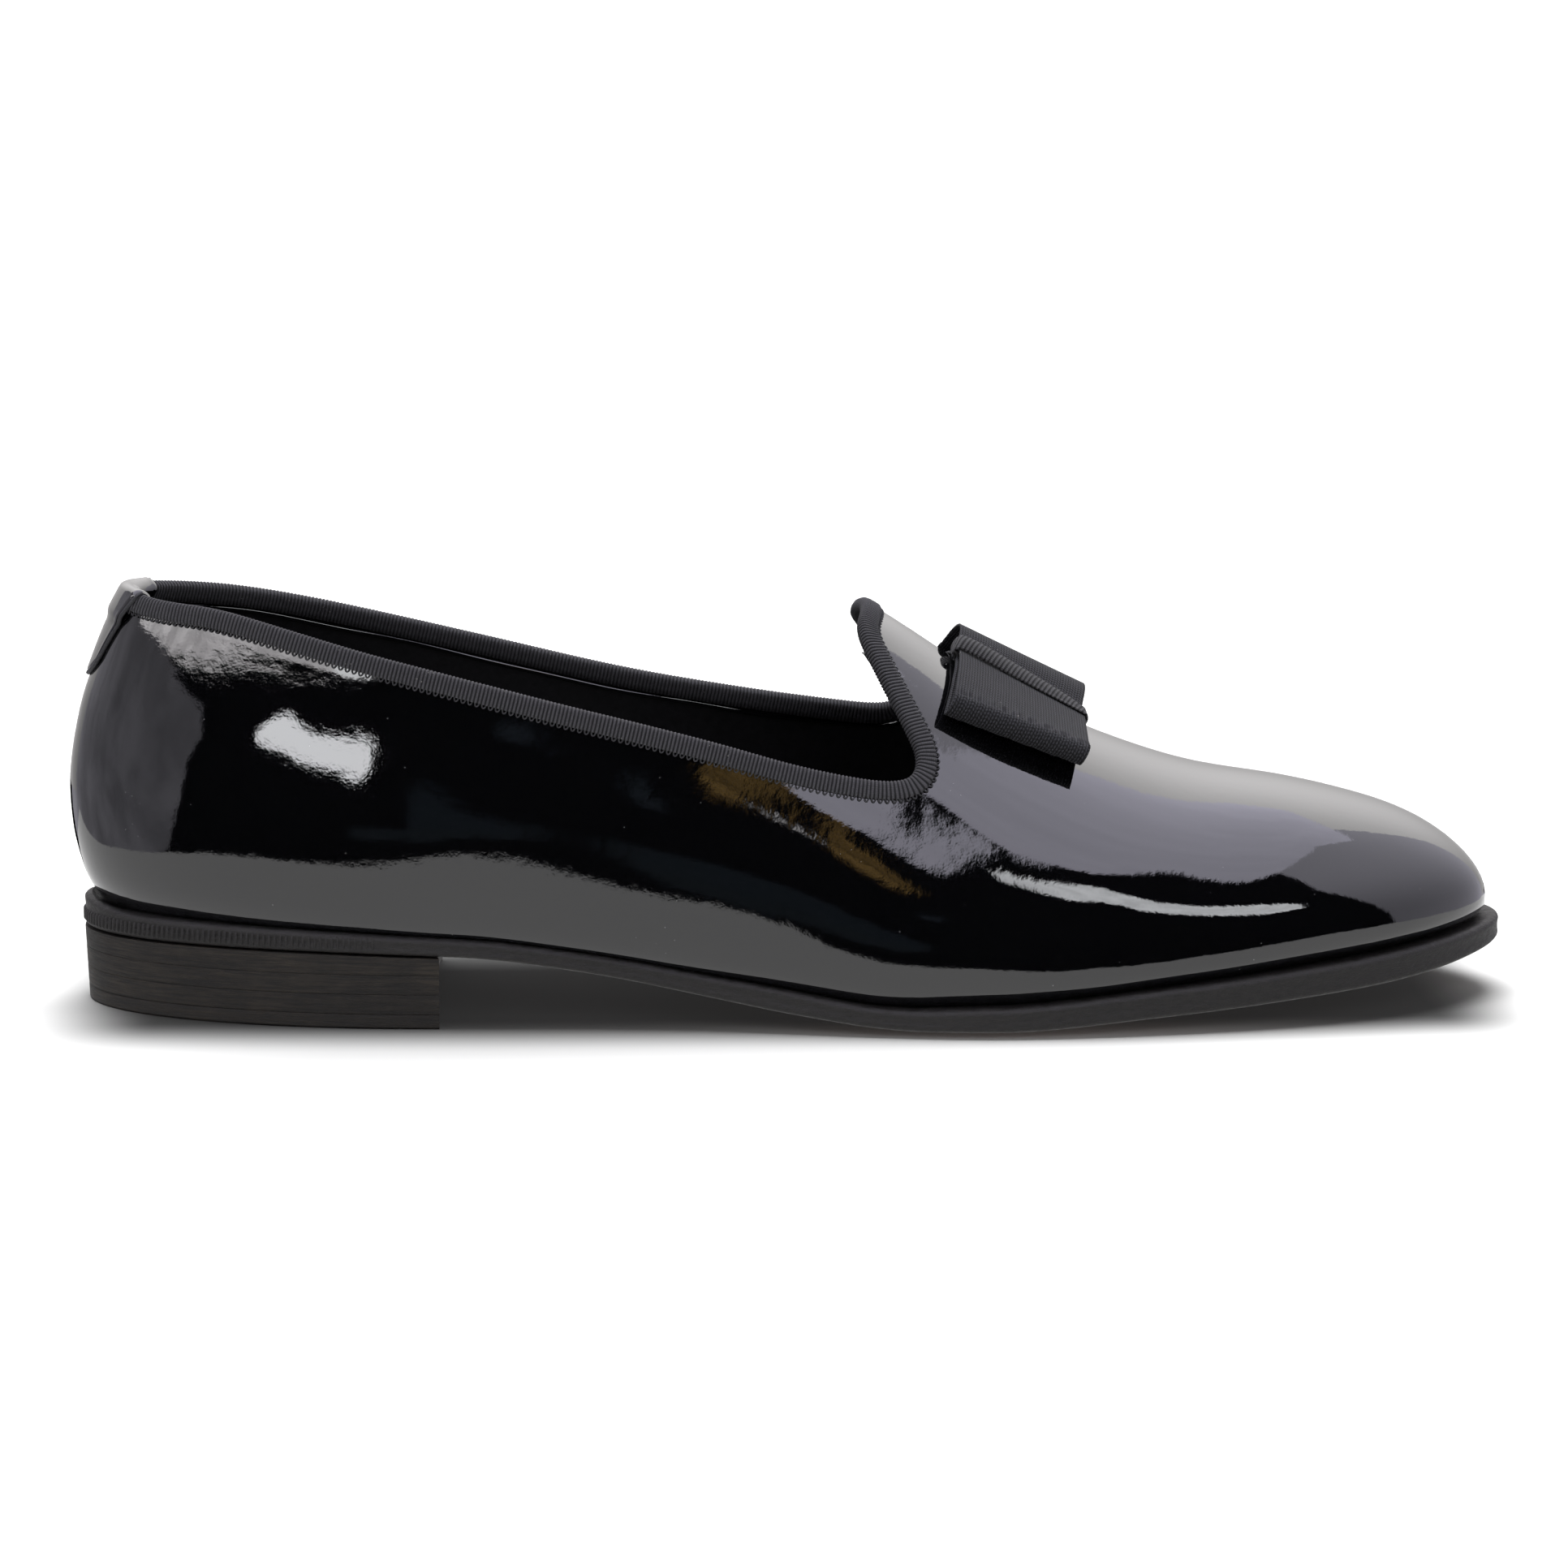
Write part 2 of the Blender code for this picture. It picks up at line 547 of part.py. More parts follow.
def build_lift(name, low, high, slot):
    """One layer of the heel between two heights; either may follow the sole."""
    columns = 14
    heights = [h(heel_ring(columns, 0)[:, 0]) if callable(h) else h for h in (low, high)]
    level = [np.broadcast_to(h, len(heel_ring(columns, 0))) for h in heights]
    taper = [HEEL_TAPER * (1 - np.mean(h) / HEEL_HEIGHT) for h in level]
    rings = [heel_ring(columns, inset) for inset in taper]
    middle = np.array([0.5 * HEEL_LENGTH, sole_centre(0.5 * HEEL_LENGTH)])
    loops = [
        lifted(middle + (rings[0] - middle) * 0.5, level[0]),
        lifted(rings[0], level[0]),
        lifted(rings[1], level[1]),
        lifted(middle + (rings[1] - middle) * 0.5, level[1]),
    ]
    if callable(high):
        loops[3][:, 2] = high(loops[3][:, 0])
    return disc_solid(name, loops, slot)


def build_upper(grid, slot):
    normal = normals(grid)
    rows = grid.shape[1]
    steps = np.linalg.norm(np.diff(grid[:, ::-1], axis=1), axis=-1)
    depth = np.concatenate([np.zeros((len(grid), 1)), np.cumsum(steps, axis=1)], axis=1)[:, ::-1]
    wall = RIM_WALL + (WALL - RIM_WALL) * np.clip((depth - BINDING_DEPTH) / SKIVE, 0, 1)
    lining = grid - normal * wall[..., None]
    floor = grid[:, 0, 2]
    first = 1
    while np.any(lining[:, first, 2] < floor + MARGIN_WALL + 0.0006):
        first += 1
    foot = grid[:, 0].copy()
    x = np.clip(foot[:, 0], 0.13 * LENGTH, 0.86 * LENGTH)
    spine = np.stack([x, centre_line(x)], -1)
    reach_in = foot[:, :2] - spine
    distance = np.linalg.norm(reach_in, axis=1, keepdims=True)
    margin = spine + reach_in * (1 - MARGIN / distance)
    under = np.concatenate([margin, feather(margin[:, 0])[:, None]], axis=1)
    over = under + (0, 0, MARGIN_WALL)
    corner = spine + reach_in * (1 - (WALL + 0.0006) / distance)
    corner = np.concatenate([corner, (feather(corner[:, 0]) + MARGIN_WALL)[:, None]], axis=1)
    loops = [grid[:, i] for i in range(rows)]
    loops += [lining[:, i] for i in range(rows - 1, first - 1, -1)]
    loops += [corner, over, under]
    return ring_solid("upper", loops, slot)


def build_insole(grid, slot):
    """The sock and insole, resting on the turned-in margin."""
    low = grid[:, 0]
    x = np.clip(low[:, 0], 0.13 * LENGTH, 0.86 * LENGTH)
    spine = np.stack([x, centre_line(x)], -1)
    away = low[:, :2] - spine
    distance = np.linalg.norm(away, axis=1, keepdims=True)
    edge = spine + away * (1 - (WALL + 0.0022) / distance)
    base = MARGIN_WALL + 2 * GAP
    at = lambda ring, rise: lifted(ring, feather(ring[:, 0]) + rise)
    inner = spine + (edge - spine) * 0.45
    inset = spine + (edge - spine) * 0.97
    loops = [at(inner, base), at(edge, base), at(edge, base + 0.7 * INSOLE_WALL),
             at(inset, base + INSOLE_WALL), at(inner, base + INSOLE_WALL)]
    return disc_solid("insole", loops, slot)


def build_binding(grid, slot):
    """Ribbed ribbon folded over the topline, as a U round the skived rim."""
    rim = grid[:, -1]
    normal = normals(grid)[:, -1]
    up = np.cross(normal, np.roll(rim, -1, 0) - np.roll(rim, 1, 0))
    up *= np.sign(np.sum(up * (rim - grid[:, -2]), axis=1, keepdims=True))
    up /= np.linalg.norm(up, axis=1, keepdims=True)
    leg, wall, slack = BINDING_DEPTH, BINDING_WALL, GAP
    outer = slack + wall
    profile = (
        (outer, -leg), (outer, -0.15 * leg), (0.72 * outer, slack + 0.75 * wall),
        (-0.5 * RIM_WALL, slack + 1.15 * wall), (-RIM_WALL - 0.72 * outer, slack + 0.75 * wall),
        (-RIM_WALL - outer, -0.15 * leg), (-RIM_WALL - outer - 0.10 * wall, -leg),
        (-RIM_WALL - slack - 0.10 * wall, -leg), (-RIM_WALL - slack, 0.8 * slack),
        (slack, 0.8 * slack), (slack, -leg),
    )
    foot = reach(rim - up * leg - normal * 4 * WALL, rim - up * leg)
    loops = [(foot if rise == -leg else rim + up * rise) + normal * across
             for across, rise in profile]
    return ring_solid("collar_binding", loops, slot)


def back_wall(y, z):
    """Outside of the heel's back at an offset from the seam and a height."""
    low = back_share((z - feather(0.0)) / BACK_HEIGHT) * LENGTH
    high = np.full_like(low, 0.2 * LENGTH)
    for _ in range(50):
        middle = (low + high) / 2
        within = half_at(middle, z) >= np.abs(y)
        high, low = np.where(within, middle, high), np.where(within, low, middle)
    return np.stack([high, y, z], -1)


def build_heel_tab(slot):
    """Patent tab over the back seam: up the outside, over the binding and down the inside."""
    rim = np.concatenate([topline(-1)[:200][::-1], topline(1)[1:200]])
    rim_at = lambda y: np.interp(y, rim[:, 1], rim[:, 2])
    columns = np.linspace(-1, 1, 13)
    seat = GAP + BINDING_WALL + 1.2 * GAP
    outer, inner = [], []

    def plan_normal(y, z):
        along = back_wall(y + 1e-4, z) - back_wall(y - 1e-4, z)
        up = back_wall(y, z + 1e-4) - back_wall(y, z - 1e-4)
        normal = np.cross(up, along)
        return normal / np.linalg.norm(normal, axis=1, keepdims=True)

    round_end = TAB_HEIGHT * 0.34 * (1 - np.sqrt(1 - 0.97 * columns**2))
    lap_depth = BINDING_DEPTH + 0.0032
    slack = GAP
    for level in np.linspace(0, 1, 7):
        wide = TAB_HALF_WIDTH * (TAB_END_WIDTH + (1 - TAB_END_WIDTH) * level)
        y = columns * wide
        low = rim_at(0.0) - TAB_HEIGHT + round_end
        z = low + (rim_at(y) - low) * level
        normal = plan_normal(y, z)
        lap = np.clip((z - rim_at(y) + lap_depth) / 0.0022, 0, 1)
        lift = GAP + (seat - GAP) * lap * lap * (3 - 2 * lap)
        wall = back_wall(y, z)
        inner.append(wall + normal * lift[:, None])
        outer.append(wall + normal * (lift + TAB_WALL)[:, None])
    y = columns * TAB_HALF_WIDTH
    z = rim_at(y)
    normal, rim_points = plan_normal(y, z), back_wall(y, z)
    rise = np.cross(normal, np.gradient(rim_points, axis=0))
    rise = rise / np.linalg.norm(rise, axis=1, keepdims=True)
    rise = rise * np.sign(rise[:, 2:])
    middle = rim_points - normal * RIM_WALL / 2
    for turn in np.radians((28, 62, 90, 118, 152)):
        for rows, extra in ((inner, 0.0), (outer, TAB_WALL)):
            out = RIM_WALL / 2 + seat + extra + slack * (1 - math.cos(turn)) / 2
            rows.append(middle + normal * out * math.cos(turn)
                        + rise * (seat + 0.0001 + extra) * math.sin(turn))
    for level in np.linspace(0, 1, 4):
        side = columns * TAB_HALF_WIDTH * (1 - 0.14 * level)
        depth = TAB_INSIDE * level * (1 - 0.25 * columns**2)
        z = rim_at(side) - depth
        normal, wall = plan_normal(side, z), back_wall(side, z)
        drop = RIM_WALL + (WALL - RIM_WALL) * 0.9 * level
        base = max(RIM_WALL + seat, drop + GAP) + slack
        inner.append(wall - normal * base)
        outer.append(wall - normal * (base + TAB_WALL))
    return sheet_solid("heel_tab", np.array(outer), np.array(inner), slot)


def bow_frame():
    """Centre of the bow on the vamp, the way along the ridge and the way off it."""
    step = 0.02 * LENGTH
    rise = (ridge(BOW_STATION + step) - ridge(BOW_STATION - step)) / (2 * step)
    along = np.array([1.0, 0.0, float(rise)])
    along /= np.linalg.norm(along)
    off = np.array([-along[2], 0.0, along[0]])
    return np.array([BOW_STATION, BOW_OFFSET, float(ridge(BOW_STATION))]), along, off


def vamp_height(a, b):
    """Height of the vamp off the bow's own plane, a along the ridge and b across it."""
    centre, along, off = bow_frame()
    depth = 0.9 * BOW_HALF_SPAN
    spot = centre + a[..., None] * along + b[..., None] * np.array([0.0, 1.0, 0.0])
    hit = reach(spot - depth * off, spot)
    return np.sum((hit - spot) * off, axis=-1)


def bow_points(a, b, height):
    centre, along, off = bow_frame()
    return centre + a[..., None] * along + b[..., None] * np.array([0.0, 1.0, 0.0]) \
        + height[..., None] * off


def ribbon_runs(a, b):
    """Heights of the ribbon's lower and upper run, clear of the vamp and of the band."""
    share = b / BOW_HALF_SPAN
    twist = WING_TWIST * share**2 * a / (0.5 * BOW_LENGTH)
    low = spline(RUNS, 1)(share) * WING_LOFT + twist
    high = spline(RUNS, 2)(share) * WING_LOFT + 0.8 * twist
    near = np.exp(-(b / (0.75 * BAND_WIDTH)) ** 6)
    floor = vamp_height(a, b) + GAP + RIBBON_WALL / 2 + (BAND_WALL + NEST_GAP) * near
    low = np.maximum(low, floor)
    return low, np.maximum(high, low + RIBBON_WALL + NEST_GAP)


def ribbon_loop(a, count=25):
    """One turn of the flat ribbon loop at a place along the ridge."""
    flat = 0.915 * BOW_HALF_SPAN
    run = np.linspace(-1, 1, count) * flat
    low, high = ribbon_runs(np.full_like(run, a), run)
    turn = np.linspace(-0.5, 0.5, 7)[1:-1] * math.pi
    bulge = BOW_HALF_SPAN - flat
    ends = []
    for k in (-1, 0):
        middle, half = (low[k] + high[k]) / 2, (high[k] - low[k]) / 2
        ends.append((flat + bulge * np.cos(turn), middle + half * np.sin(turn)))
    b = np.concatenate([run, ends[0][0], run[::-1], -ends[1][0]])
    return b, np.concatenate([low, ends[0][1], high[::-1], ends[1][1][::-1]])


def build_ribbon(slot):
    outer, inner = [], []
    for a in np.linspace(-0.5, 0.5, 4) * BOW_LENGTH:
        b, height = ribbon_loop(a)
        db, dh = np.roll(b, -1) - np.roll(b, 1), np.roll(height, -1) - np.roll(height, 1)
        size = np.hypot(db, dh)
        for rows, side in ((outer, 0.5), (inner, -0.5)):
            rows.append(bow_points(np.full_like(b, a), b + dh / size * side * RIBBON_WALL,
                                   height - db / size * side * RIBBON_WALL))
    return ring_solid("bow_ribbon", outer + inner[::-1], slot)


def build_band(slot):
    """The strip that gathers the ribbon: once round it, front to back, arched across."""
    long = BOW_LENGTH / 2 + NEST_GAP + 0.0006 + BAND_WALL / 2
    corner = 0.0012
    run = np.linspace(-1, 1, 9) * (long - corner)
    turn = np.linspace(-0.5, 0.5, 7)[1:-1] * math.pi
    loops = []
    for side, order in ((0.5, 1), (-0.5, -1)):
        rows = []
        for share in np.linspace(-0.5, 0.5, 5):
            b = np.full_like(run, share * BAND_WIDTH)
            low = vamp_height(np.clip(run, -0.5 * BOW_LENGTH, 0.5 * BOW_LENGTH), b)
            low = low + GAP + BAND_WALL / 2
            high = spline(BAND_ARCH)(share) * WING_LOFT * (1 - 0.16 * run / long)
            _, ribbon_top = ribbon_runs(run, b)
            high = np.maximum(high, ribbon_top + (RIBBON_WALL + BAND_WALL) / 2 + NEST_GAP)
            high = high - 0.0008 * (np.abs(run) / long) ** 6
            high = np.maximum(high, ribbon_top + (RIBBON_WALL + BAND_WALL) / 2 + NEST_GAP)
            ends = []
            for k in (-1, 0):
                middle, half = (low[k] + high[k]) / 2, (high[k] - low[k]) / 2
                ends.append((long - corner + corner * np.cos(turn), middle + half * np.sin(turn)))
            a = np.concatenate([run, ends[0][0], run[::-1], -ends[1][0]])
            height = np.concatenate([low, ends[0][1], high[::-1], ends[1][1][::-1]])
            da, dh = np.roll(a, -1) - np.roll(a, 1), np.roll(height, -1) - np.roll(height, 1)
            size = np.hypot(da, dh)
            rows.append(bow_points(a + dh / size * side * BAND_WALL,
                                   np.full_like(a, share * BAND_WIDTH),
                                   height - da / size * side * BAND_WALL))
        loops += rows[::order]
    return ring_solid("bow_band", loops, slot)


shoe = bpy.data.objects.new("shoe_frame", None)
bpy.context.scene.collection.objects.link(shoe)

patent = material("black_patent", (0.006, 0.006, 0.008), 0.08, coat=1.0)
grosgrain = material("black_grosgrain", (0.018, 0.018, 0.020), 0.75)
ribbon = material("bow_ribbon_black", (0.022, 0.022, 0.025), 0.7)
sole_leather = material("sole_edge_black", (0.016, 0.014, 0.013), 0.42)
stack_leather = material("stacked_heel_black", (0.022, 0.018, 0.015), 0.48)
rubber = material("top_piece_black", (0.014, 0.013, 0.013), 0.6)
lining_leather = material("sock_leather_black", (0.010, 0.010, 0.010), 0.6)

outside = upper_grid(SIDE_COLUMNS, WALL_ROWS)
build_outsole(sole_leather)
lift = lambda n: TOP_PIECE_HEIGHT + n * LIFT_HEIGHT
build_lift("top_piece", 0.0, TOP_PIECE_HEIGHT, rubber)
build_lift("heel_lift_lower", lift(0) + LIFT_GAP, lift(1), stack_leather)
build_lift("heel_lift_middle", lift(1) + LIFT_GAP, lift(2), stack_leather)
build_lift("heel_lift_upper", lift(2) + LIFT_GAP, lambda x: tread(x) - GAP, stack_leather)
build_upper(outside, patent)
build_insole(outside, lining_leather)
build_binding(outside, grosgrain)
build_heel_tab(patent)
build_ribbon(ribbon)
build_band(ribbon)

# The origin is the middle of the shoe's box, on the floor
pieces = [piece for piece in bpy.data.objects if piece.type == "MESH"]
corners = np.array([vertex.co for piece in pieces for vertex in piece.data.vertices])
middle = (corners.min(axis=0) + corners.max(axis=0)) / 2
for piece in pieces:
    piece.data.transform(Matrix.Translation((-middle[0], -middle[1], 0.0)))
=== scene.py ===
"""Looks of a right-foot black patent opera pump: mirror-bright patent upper, ribbed ribbon
binding with its stitches, piped heel tab, flat ribbon bow, leather sole and stacked heel.

Metres, +Z up, +X to the toe, +Y to the inner side. Surface formulas run from the back of
the sole, x = 0, to its toe, and Last.place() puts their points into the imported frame.
"""

import logging
import math
from collections.abc import Callable, Iterable
from dataclasses import dataclass
from enum import Enum
from functools import cache

import bpy
import numpy as np
from mathutils import Matrix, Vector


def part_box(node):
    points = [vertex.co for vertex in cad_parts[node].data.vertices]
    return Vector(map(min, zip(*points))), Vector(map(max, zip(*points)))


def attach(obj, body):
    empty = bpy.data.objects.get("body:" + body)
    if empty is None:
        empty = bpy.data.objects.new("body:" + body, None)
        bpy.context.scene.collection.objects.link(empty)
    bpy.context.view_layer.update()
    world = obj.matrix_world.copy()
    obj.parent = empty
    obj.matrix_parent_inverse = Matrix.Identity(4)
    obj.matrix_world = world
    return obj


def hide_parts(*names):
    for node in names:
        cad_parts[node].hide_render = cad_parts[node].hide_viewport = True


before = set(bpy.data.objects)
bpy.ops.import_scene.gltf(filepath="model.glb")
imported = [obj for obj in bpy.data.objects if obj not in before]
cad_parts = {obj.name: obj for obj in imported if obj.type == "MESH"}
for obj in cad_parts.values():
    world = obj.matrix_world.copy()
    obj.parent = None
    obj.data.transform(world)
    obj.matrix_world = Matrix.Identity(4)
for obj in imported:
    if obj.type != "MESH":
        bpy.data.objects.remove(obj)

LOG = logging.getLogger("opera_pump")
Array = np.ndarray
Rows = tuple[tuple[float, ...], ...]
Colour = tuple[float, float, float]
Material = bpy.types.Material
Socket = bpy.types.NodeSocket
Feed = Socket | float | tuple[float, ...]
Level = float | Callable[[Array], Array]
SMALL = 1e-12


class Spline:
    """Natural cubic spline through a table's column, straight beyond its ends."""

    def __init__(self, rows: Rows, column: int = 1) -> None:
        """Solves the spline.

        Args:
            rows: table whose first column is the place.
            column: which column holds the value.
        """
        xs = np.array([row[0] for row in rows], float)
        ys = np.array([row[column] for row in rows], float)
        step, count = np.diff(xs), len(xs)
        matrix, right = np.eye(count), np.zeros(count)
        for i in range(1, count - 1):
            matrix[i, i - 1:i + 2] = step[i - 1], 2 * (step[i - 1] + step[i]), step[i]
            right[i] = 6 * ((ys[i + 1] - ys[i]) / step[i] - (ys[i] - ys[i - 1]) / step[i - 1])
        bend = np.linalg.solve(matrix, right)
        self.first = (ys[1] - ys[0]) / step[0] - step[0] * bend[1] / 6
        self.last = (ys[-1] - ys[-2]) / step[-1] + step[-1] * bend[-2] / 6
        self.xs, self.ys, self.step, self.bend = xs, ys, step, bend

    def __call__(self, x: Array | float) -> Array:
        """Value at each place.

        Args:
            x: the places.

        Returns:
            The values.
        """
        xs, ys, bend = self.xs, self.ys, self.bend
        x = np.asarray(x, float)
        k = np.clip(np.searchsorted(xs, x) - 1, 0, len(xs) - 2)
        after, before, width = x - xs[k], xs[k + 1] - x, self.step[k]
        value = (bend[k] * before**3 + bend[k + 1] * after**3) / (6 * width)
        value = value + (ys[k] / width - bend[k] * width / 6) * before
        value = value + (ys[k + 1] / width - bend[k + 1] * width / 6) * after
        value = np.where(x < xs[0], ys[0] + self.first * (x - xs[0]), value)
        return np.where(x > xs[-1], ys[-1] + self.last * (x - xs[-1]), value)


def arc(points: Array) -> Array:
    """Length along a polyline, up to each of its points."""
    return np.concatenate([[0], np.cumsum(np.linalg.norm(np.diff(points, axis=0), axis=1))])


def eased(count: int) -> Array:
    """Shares from 0 to 1 that crowd towards both ends."""
    return (1 - np.cos(np.linspace(0, math.pi, count))) / 2


def smooth(share: Array) -> Array:
    """Shares from 0 to 1 made level at both ends."""
    return share * share * (3 - 2 * share)


def unit(vectors: Array) -> Array:
    """Vectors scaled to length 1."""
    return vectors / np.maximum(np.linalg.norm(vectors, axis=-1, keepdims=True), SMALL)


def resampled(points: Array, shares: Array, extra: list[Array] | None = None) -> list[Array]:
    """A polyline and what runs with it, read again at shares of its length.

    Args:
        points: the polyline.
        shares: where along it, 0 to 1.
        extra: arrays with one row per point of the polyline.

    Returns:
        The polyline's new points, then each extra array's new rows.
    """
    length = arc(points)
    want = shares * length[-1]
    return [np.stack([np.interp(want, length, line[:, k]) for k in range(line.shape[1])], -1)
            for line in [points] + (extra or [])]


@dataclass(frozen=True)
class Last:
    """The shoe's form: the same named sizes and tables as its solids."""

    length: float = 0.300
    ball_width: float = 0.0932
    sole_width: float = 0.0956
    back_height: float = 0.0650
    heel_height: float = 0.0150
    heel_length: float = 0.0741
    seat_edge: float = 0.0046
    waist_edge: float = 0.0038
    fore_edge: float = 0.0060
    gap: float = 0.0003
    wall: float = 0.0020
    rim_wall: float = 0.0012
    toe_tuck: float = 0.0024
    toe_tip: float = 0.297
    toe_start: float = 0.186
    heel_round: float = 0.0759
    sole_heel_round: float = 0.0705
    close_power: float = 2.2
    table_places: int = 7401
    line_places: int = 1601
    march_steps: int = 60
    halvings: int = 24
    wall_halvings: int = 40
    spine_span: tuple[float, float] = (0.13, 0.86)
    ray_reach: float = 0.7

    TREAD = (
        (0.000, 1.053), (0.247, 1.000), (0.280, 0.960), (0.317, 0.867), (0.367, 0.707),
        (0.417, 0.513), (0.467, 0.327), (0.507, 0.167), (0.543, 0.040), (0.573, 0.000),
        (0.633, 0.000), (0.677, 0.053), (0.720, 0.127), (0.777, 0.220), (0.833, 0.327),
        (0.897, 0.460), (0.950, 0.600), (1.000, 0.753),
    )
    OUTLINE = (
        (0.00, 0.000, 0.672), (0.10, -0.002, 0.686), (0.20, -0.017, 0.700),
        (0.30, -0.046, 0.690), (0.40, -0.058, 0.706), (0.50, -0.034, 0.838),
        (0.57, 0.000, 0.950), (0.64, 0.028, 1.004), (0.71, 0.056, 1.000),
        (0.78, 0.072, 0.972), (0.86, 0.078, 0.926), (0.93, 0.077, 0.866), (1.00, 0.070, 0.770),
    )
    SECTIONS = (
        (0.00, 0.000, 0.721, 0.240, 1.540, 0.000, 0.00, 0.034),
        (0.10, -0.004, 0.726, 0.222, 1.510, 0.000, 0.00, 0.034),
        (0.20, -0.019, 0.727, 0.191, 1.475, 0.004, 0.00, 0.034),
        (0.30, -0.041, 0.726, 0.165, 1.400, 0.017, 0.00, 0.034),
        (0.40, -0.054, 0.743, 0.140, 1.285, 0.045, 0.05, 0.036),
        (0.50, -0.032, 0.850, 0.132, 1.115, 0.080, 0.12, 0.039),
        (0.553, -0.013, 0.921, 0.118, 1.035, 0.095, 0.18, 0.042),
        (0.60, 0.004, 0.966, 0.112, 0.898, 0.095, 0.20, 0.045),
        (0.65, 0.028, 0.994, 0.101, 0.762, 0.080, 0.15, 0.047),
        (0.70, 0.047, 1.000, 0.090, 0.646, 0.060, 0.10, 0.047),
        (0.74, 0.060, 0.983, 0.085, 0.571, 0.042, 0.05, 0.049),
        (0.787, 0.069, 0.958, 0.084, 0.508, 0.024, 0.00, 0.051),
        (0.84, 0.075, 0.926, 0.087, 0.474, 0.006, -0.10, 0.051),
        (0.893, 0.077, 0.890, 0.081, 0.457, 0.002, -0.15, 0.051),
        (0.947, 0.075, 0.845, 0.067, 0.446, 0.000, -0.20, 0.054),
        (0.993, 0.069, 0.780, 0.045, 0.415, 0.000, -0.20, 0.056),
    )
    BACK_CURVE = (
        (-0.02, 0.0150), (0.020, 0.0093), (0.072, 0.0028), (0.135, -0.0020), (0.212, -0.0060),
        (0.289, -0.0080), (0.380, -0.0087), (0.472, -0.0070), (0.565, -0.0035),
        (0.657, 0.0013), (0.749, 0.0082), (0.842, 0.0160), (0.934, 0.0250), (1.026, 0.0363),
        (1.120, 0.0493),
    )
    TOPLINE_OUTER = (
        (0.0320, 0.995), (0.0483, 0.979), (0.0927, 0.960), (0.1317, 0.922), (0.1683, 0.877),
        (0.2050, 0.832), (0.2417, 0.790), (0.2777, 0.748), (0.3343, 0.681), (0.3667, 0.644),
        (0.4067, 0.598), (0.4433, 0.554), (0.4807, 0.507), (0.5200, 0.467), (0.5430, 0.451),
        (0.5580, 0.450), (0.5685, 0.466), (0.5735, 0.501), (0.5735, 0.546), (0.5690, 0.600),
        (0.5565, 0.714), (0.5450, 0.822), (0.5405, 0.870), (0.5396, 0.896), (0.5404, 0.914),
        (0.5424, 0.928), (0.5452, 0.936),
    )
    TOPLINE_INNER = (
        (0.0320, 0.995), (0.0510, 0.986), (0.0990, 0.957), (0.1493, 0.910), (0.2000, 0.855),
        (0.2400, 0.811), (0.2773, 0.771), (0.3380, 0.706), (0.3733, 0.670), (0.4167, 0.631),
        (0.4550, 0.599), (0.4950, 0.568), (0.5380, 0.539), (0.5600, 0.530), (0.5727, 0.540),
        (0.5792, 0.572), (0.5795, 0.616), (0.5755, 0.669), (0.5632, 0.758), (0.5508, 0.835),
        (0.5436, 0.880), (0.5412, 0.902), (0.5412, 0.917), (0.5426, 0.929), (0.5452, 0.936),
    )
    COLUMNS = (
        (0.00, 0.0, 0.0), (0.085, 0.027, 0.056), (0.23, 0.215, 0.39), (0.40, 0.480, 0.82),
        (0.50, 0.590, 0.98), (0.62, 0.745, 1.25), (0.80, 0.905, 1.62), (1.00, 1.0, 2.0),
    )

    def __post_init__(self) -> None:
        """Reads the tables into lengths along the shoe."""
        half, sole = self.ball_width / 2, self.sole_width / 2
        edge = ((0.0, self.seat_edge + 0.0004), (0.10, self.seat_edge),
                (0.247, self.waist_edge), (0.40, self.waist_edge + 0.0004),
                (0.50, self.fore_edge - 0.0010), (0.60, self.fore_edge),
                (0.93, self.fore_edge), (1.0, self.fore_edge - 0.0009))
        made = {"tread_line": (self.TREAD, 1, self.heel_height), "sole_edge": (edge, 1, 1.0),
                "sole_centre": (self.OUTLINE, 1, sole), "sole_half": (self.OUTLINE, 2, sole)}
        sizes = (half, half, self.back_height, self.back_height, half, 1.0, half)
        names = ("centre_line", "half_width", "widest_rise", "ridge_rise", "ridge_shift",
                 "ridge_peak", "tuck")
        for column, (name, size) in enumerate(zip(names, sizes), start=1):
            made[name] = (self.SECTIONS, column, size)
        for name, (rows, column, size) in made.items():
            object.__setattr__(self, name, self.scaled(Spline(rows, column), size))
        object.__setattr__(self, "back_share", Spline(self.BACK_CURVE))

    def scaled(self, share: Spline, size: float) -> Callable[[Array], Array]:
        """A spline over shares of the length, read from a fine table of places.

        Args:
            share: the spline.
            size: the named size that its values are shares of.

        Returns:
            A function from a place to a length.
        """
        places = np.linspace(-0.03, 0.34, self.table_places)
        values = share(places / self.length) * size
        return lambda x: np.interp(x, places, values)

    def tread(self, x: Array) -> Array:
        """Height of the sole's underside along the middle line."""
        return np.maximum(self.tread_line(x), 0.0)

    def feather(self, x: Array) -> Array:
        """Height of the line where the upper meets the sole."""
        return self.tread(x) + self.sole_edge(x) + self.gap

    def widest(self, x: Array) -> Array:
        """Height of the upper's widest line."""
        return self.feather(x) + self.widest_rise(x)

    def below(self, x: Array, z: Array) -> Array:
        """0 at the widest line, 1 at the feather."""
        return np.clip((self.widest(x) - z) / (self.widest(x) - self.feather(x)), 0, 1.6)

